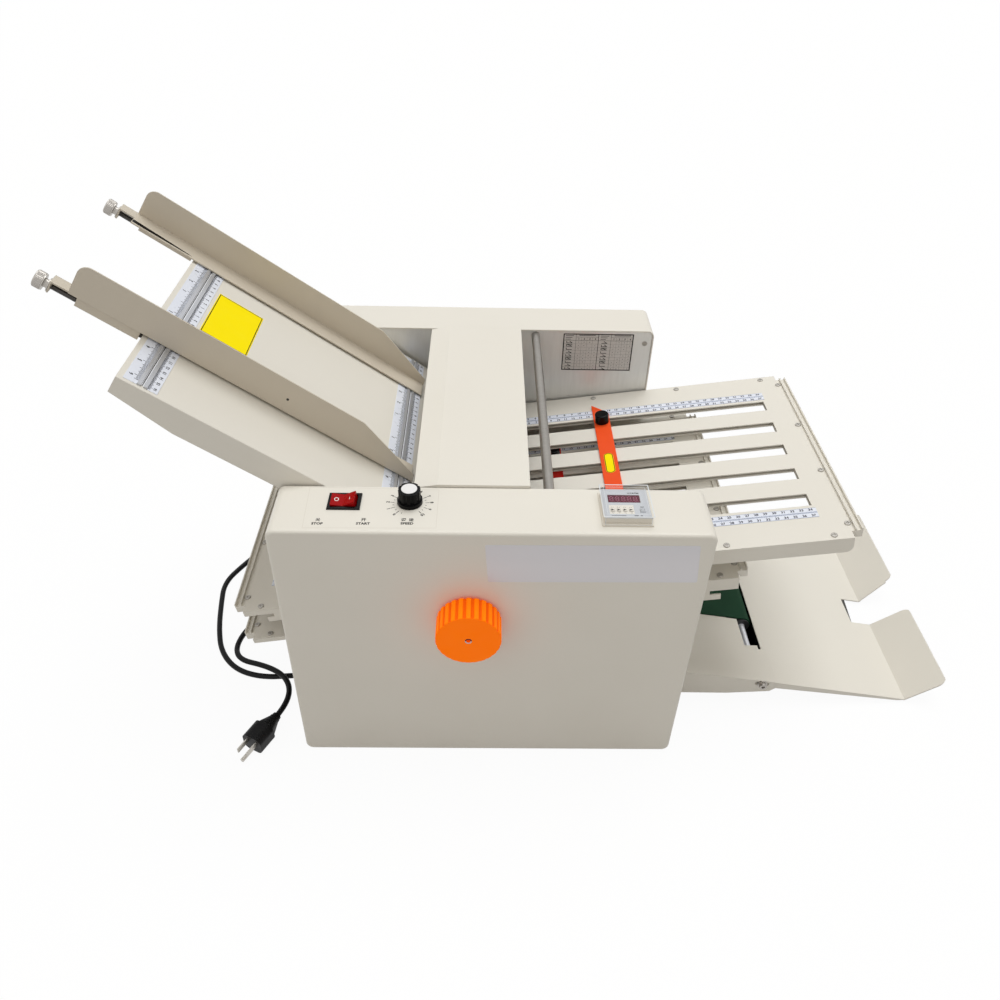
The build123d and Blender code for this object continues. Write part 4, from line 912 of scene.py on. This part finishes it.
bottom = [(pan_left, pan_low), (pan_right, pan_low), (pan_right, floor_top), (pan_left, floor_top)]
wall = [(pan_right - pan_sheet, floor_top), (pan_right, floor_top), (pan_right, 34.0),
        (pan_right - pan_sheet, 34.0)]
end_plate = [(end_left, floor_top), (end_right, floor_top), (end_right, under_tray(end_right)),
             (end_left, under_tray(end_left))]
pan_points, pan_faces = [], []
for outline, y0, y1 in ((bottom, pan_front, pan_rear), (wall, pan_front, pan_rear),
                        (end_plate, pan_front, pan_front + pan_sheet),
                        (end_plate, pan_rear - pan_sheet, pan_rear)):
    first = len(pan_points)
    pan_points += [at(x, y, z) for y in (y0, y1) for x, z in outline]
    pan_faces += [(first, first + 1, first + 2, first + 3), (first + 7, first + 6, first + 5, first + 4)]
    pan_faces += [(first + index, first + index + 4, first + (index + 1) % 4 + 4, first + (index + 1) % 4)
                  for index in range(4)]
add("belt_end_shadow_pan", "frame", gloss_black, pan_points, pan_faces)

# Painted shadow: a dark strip under the end tray, which shows along the inner edge of its notch, stands in
# for the shade under the tray there
shadow_strip = [(716.0, 203.0), (723.0, 203.0), (727.4, 251.0), (727.4, 254.0), (716.0, 254.0)]
shadow_strip_start, shadow_strip_height, shadow_strip_fall = 722.0, 7.5, 0.18


def under_end_tray(u, v, height):
    return at(u, v, shadow_strip_height - (u - shadow_strip_start) * shadow_strip_fall + height)


film("end_tray_notch_shadow_strip", "end_tray", black_steel, under_end_tray, shadow_strip, 0.8)

# Knurled rims and centre holes of the two guide knobs
down = Vector((math.cos(slope), 0, -math.sin(slope)))
hub = knob_end - seat_gap - 5.0
knurl = [(hub - 8.3, 7.9), (hub - 7.8, 8.75), (hub - 1.2, 8.75), (hub - 0.7, 7.9)]
for name, y, edge_y, inward in guide_rows:
    origin = table(0, y, -screw_drop)
    revolve(f"{name}_knob_knurl", f"{name}_guide_screw", nickel, origin, down, knurl, 144, 0.14, 36)
    revolve(f"{name}_knob_hole", f"{name}_guide_screw", gloss_black, origin, down,
            [(hub - 9.06, 2.1), (hub - 8.9, 2.1)], 24)

# Painted shadow: a dark tapered strip along each guide's foot, beside the edge that faces the paper, stands
# in for the shade along that edge
foot_top = 3.8
slit_shadow = [(-74.0, 2.4), (-60.0, 1.8), (-8.0, 2.6), (-3.0, 3.6), (-8.0, 4.4), (-45.0, 6.8), (-74.0, 8.4)]
for name, y, edge_y, inward in guide_rows:
    film(f"{name}_guide_slit", f"{name}_guide", gloss_black,
         lambda u, v, h: table(u, edge_y - inward * v, foot_top + h), slit_shadow, 0.08)

# Painted shade and highlight round the hole in the handwheel's face: a dark ring above, a light ring below
rim_shading_radius = 3.6
for name, shader, start, slot in (("dark", black, 0.0, "black_plastic"),
                                  ("light", chart_film, math.pi, "white_strip")):
    rim_shading = Print(lambda u, v: at(wheel_x + u, handwheel_face - lift / 2, wheel_z + v))
    turns = [start + math.pi * index / 12 for index in range(13)]
    for first, second in zip(turns, turns[1:]):
        rim_shading.ring([(radius * math.cos(turned), radius * math.sin(turned))
                  for radius, turned in ((handwheel_hole, first), (rim_shading_radius, first),
                                         (rim_shading_radius, second), (handwheel_hole, second))])
    rim_shading.piece(f"handwheel_hole_{name}_rim", "roller_2", shader, slot)

# Screw dot on the front guide
revolve("front_guide_dot", "front_guide", black_steel, table(150.0, 150.0, 18.0), (0, -1, 0),
        [(0.0, 1.5), (0.35, 1.4), (0.6, 0.9)], 20)

# Strain relief where the cord leaves the rear cover, and the ribs behind the plug
gland = at(-6, 444, 18)
relief = [(0.0, 7.4), (3.0, 7.4)]
for index in range(6):
    along_axis = 4.0 + index * 4.4
    radius = 6.6 - index * 0.42
    relief += [(along_axis, radius), (along_axis + 2.6, radius - 0.2), (along_axis + 2.8, radius - 1.3),
               (along_axis + 4.2, radius - 1.4)]
relief += [(31.0, 4.0), (33.0, 3.7)]
revolve("cord_strain_relief", "frame", rubber, gland, (-1, 0, 0), relief, 32)
ribs = []
for index in range(5):
    along_axis = -3.0 + index * 4.0
    radius = 5.0 + index * 1.0
    ribs += [(along_axis, radius - 0.9), (along_axis + 0.4, radius + 0.2), (along_axis + 2.4, radius + 0.5),
             (along_axis + 2.8, radius - 0.5)]
revolve("plug_strain_ribs", "frame", cord_skin, route_end, heading, ribs, 32)

# Power cord: the same route as in the part's source
cord_diameter = 0.007
cord_route = (
    (-22, 444, 18), (-58, 444, 18), (-94, 431, 8), (-113, 398, 3.6), (-120, 356, 3.6),
    (-145, 317, 3.6), (-165, 278, 3.6), (-159, 234, 3.6), (-151, 190, 3.6), (-138, 148, 3.6),
    (-111, 117, 3.6), (-73, 105, 3.6), (-32, 109, 3.6), (28, 112, 3.6), (92, 103, 3.6),
    (160, 108, 3.6), (225, 140, 3.6), (258, 205, 3.6), (240, 272, 3.6), (180, 316, 3.6),
    (108, 322, 3.6), (42, 296, 3.6), (-14, 252, 3.6), (-62, 224, 3.6), (-112, 200, 3.6),
    (-123, 137, 4.2), (-62, 113, 14.5), (-35, 90, 14.5), (-31.5, 58, 13), (-42.5, 36.6, 13))
curve = bpy.data.curves.new("power_lead", "CURVE")
curve.dimensions = "3D"
curve.bevel_depth = cord_diameter / 2
curve.bevel_resolution = 5
curve.resolution_u = 10
curve.use_fill_caps = True
line = curve.splines.new("NURBS")
line.points.add(len(cord_route) - 1)
for point, place in zip(line.points, cord_route):
    point.co = (*at(*place), 1)
line.order_u = 3
line.use_endpoint_u = True
lead = bpy.data.objects.new("power_lead", curve)
bpy.context.scene.collection.objects.link(lead)
curve.materials.append(cord_skin.material)
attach(lead, "frame")
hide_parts("power_cord")

# Floor, lamps and the pale surroundings
ground = bpy.data.meshes.new("floor")
ground.from_pydata([(-20, -20, 0), (20, -20, 0), (20, 20, 0), (-20, 20, 0)], [], [(0, 1, 2, 3)])
floor = bpy.data.objects.new("floor", ground)
bpy.context.scene.collection.objects.link(floor)
paper = Shader("pale_floor", colour(192, 192, 192), 0.9)
paper.vary(paper.spread(paper.noise(2.0, 2), 0.0, 0.2), colour(188, 188, 188))
paper.set("Specular IOR Level", 0.1)
sight = paper.node("ShaderNodeLightPath")
seen = paper.math("MAXIMUM", sight.outputs["Is Camera Ray"], sight.outputs["Is Glossy Ray"])
glow = paper.node("ShaderNodeEmission")
glow.inputs["Color"].default_value = (1, 1, 1, 1)
glow.inputs["Strength"].default_value = 1.05
mixer = paper.node("ShaderNodeMixShader")
output = paper.tree.nodes["Material Output"]
share = paper.math("MULTIPLY", seen, 0.90)
paper.link(share, mixer.inputs[0])
paper.link(paper.surface.outputs[0], mixer.inputs[1])
paper.link(glow.outputs[0], mixer.inputs[2])
paper.link(mixer.outputs[0], output.inputs["Surface"])
ground.materials.append(paper.material)


def sun(name, strength, tint, angle, tilt_x, tilt_y):
    """Broad lamp: tilted about X and Y from straight down."""
    lamp = bpy.data.lights.new(name, "SUN")
    lamp.energy = strength
    lamp.color = tint
    lamp.angle = math.radians(angle)
    held = bpy.data.objects.new(name, lamp)
    held.rotation_euler = (math.radians(tilt_x), math.radians(tilt_y), 0)
    bpy.context.scene.collection.objects.link(held)


sun("top_lamp", 1.72, (0.965, 0.985, 1.0), 40, -14, 8)
sun("side_lamp", 0.42, (1.0, 0.98, 0.95), 60, 40, -35)
world = bpy.data.worlds.new("surroundings")
bpy.context.scene.world = world
world.use_nodes = True
tree = world.node_tree
path = tree.nodes.new("ShaderNodeLightPath")
back = tree.nodes["Background"]
warmth = tree.nodes.new("ShaderNodeMix")
warmth.data_type = "RGBA"
warmth.inputs[6].default_value = (1.0, 0.95, 0.88, 1)
warmth.inputs[7].default_value = (1, 1, 1, 1)
tree.links.new(warmth.outputs[2], back.inputs["Color"])
seen = path.outputs["Is Camera Ray"]
for kind in ("Is Transmission Ray", "Is Glossy Ray"):
    either = tree.nodes.new("ShaderNodeMath")
    either.operation = "MAXIMUM"
    tree.links.new(seen, either.inputs[0])
    tree.links.new(path.outputs[kind], either.inputs[1])
    seen = either.outputs[0]
fill = tree.nodes.new("ShaderNodeMapRange")
fill.inputs["To Min"].default_value = 0.41
fill.inputs["To Max"].default_value = 1.0
tree.links.new(seen, fill.inputs["Value"])
tree.links.new(seen, warmth.inputs[0])
tree.links.new(fill.outputs[0], back.inputs["Strength"])
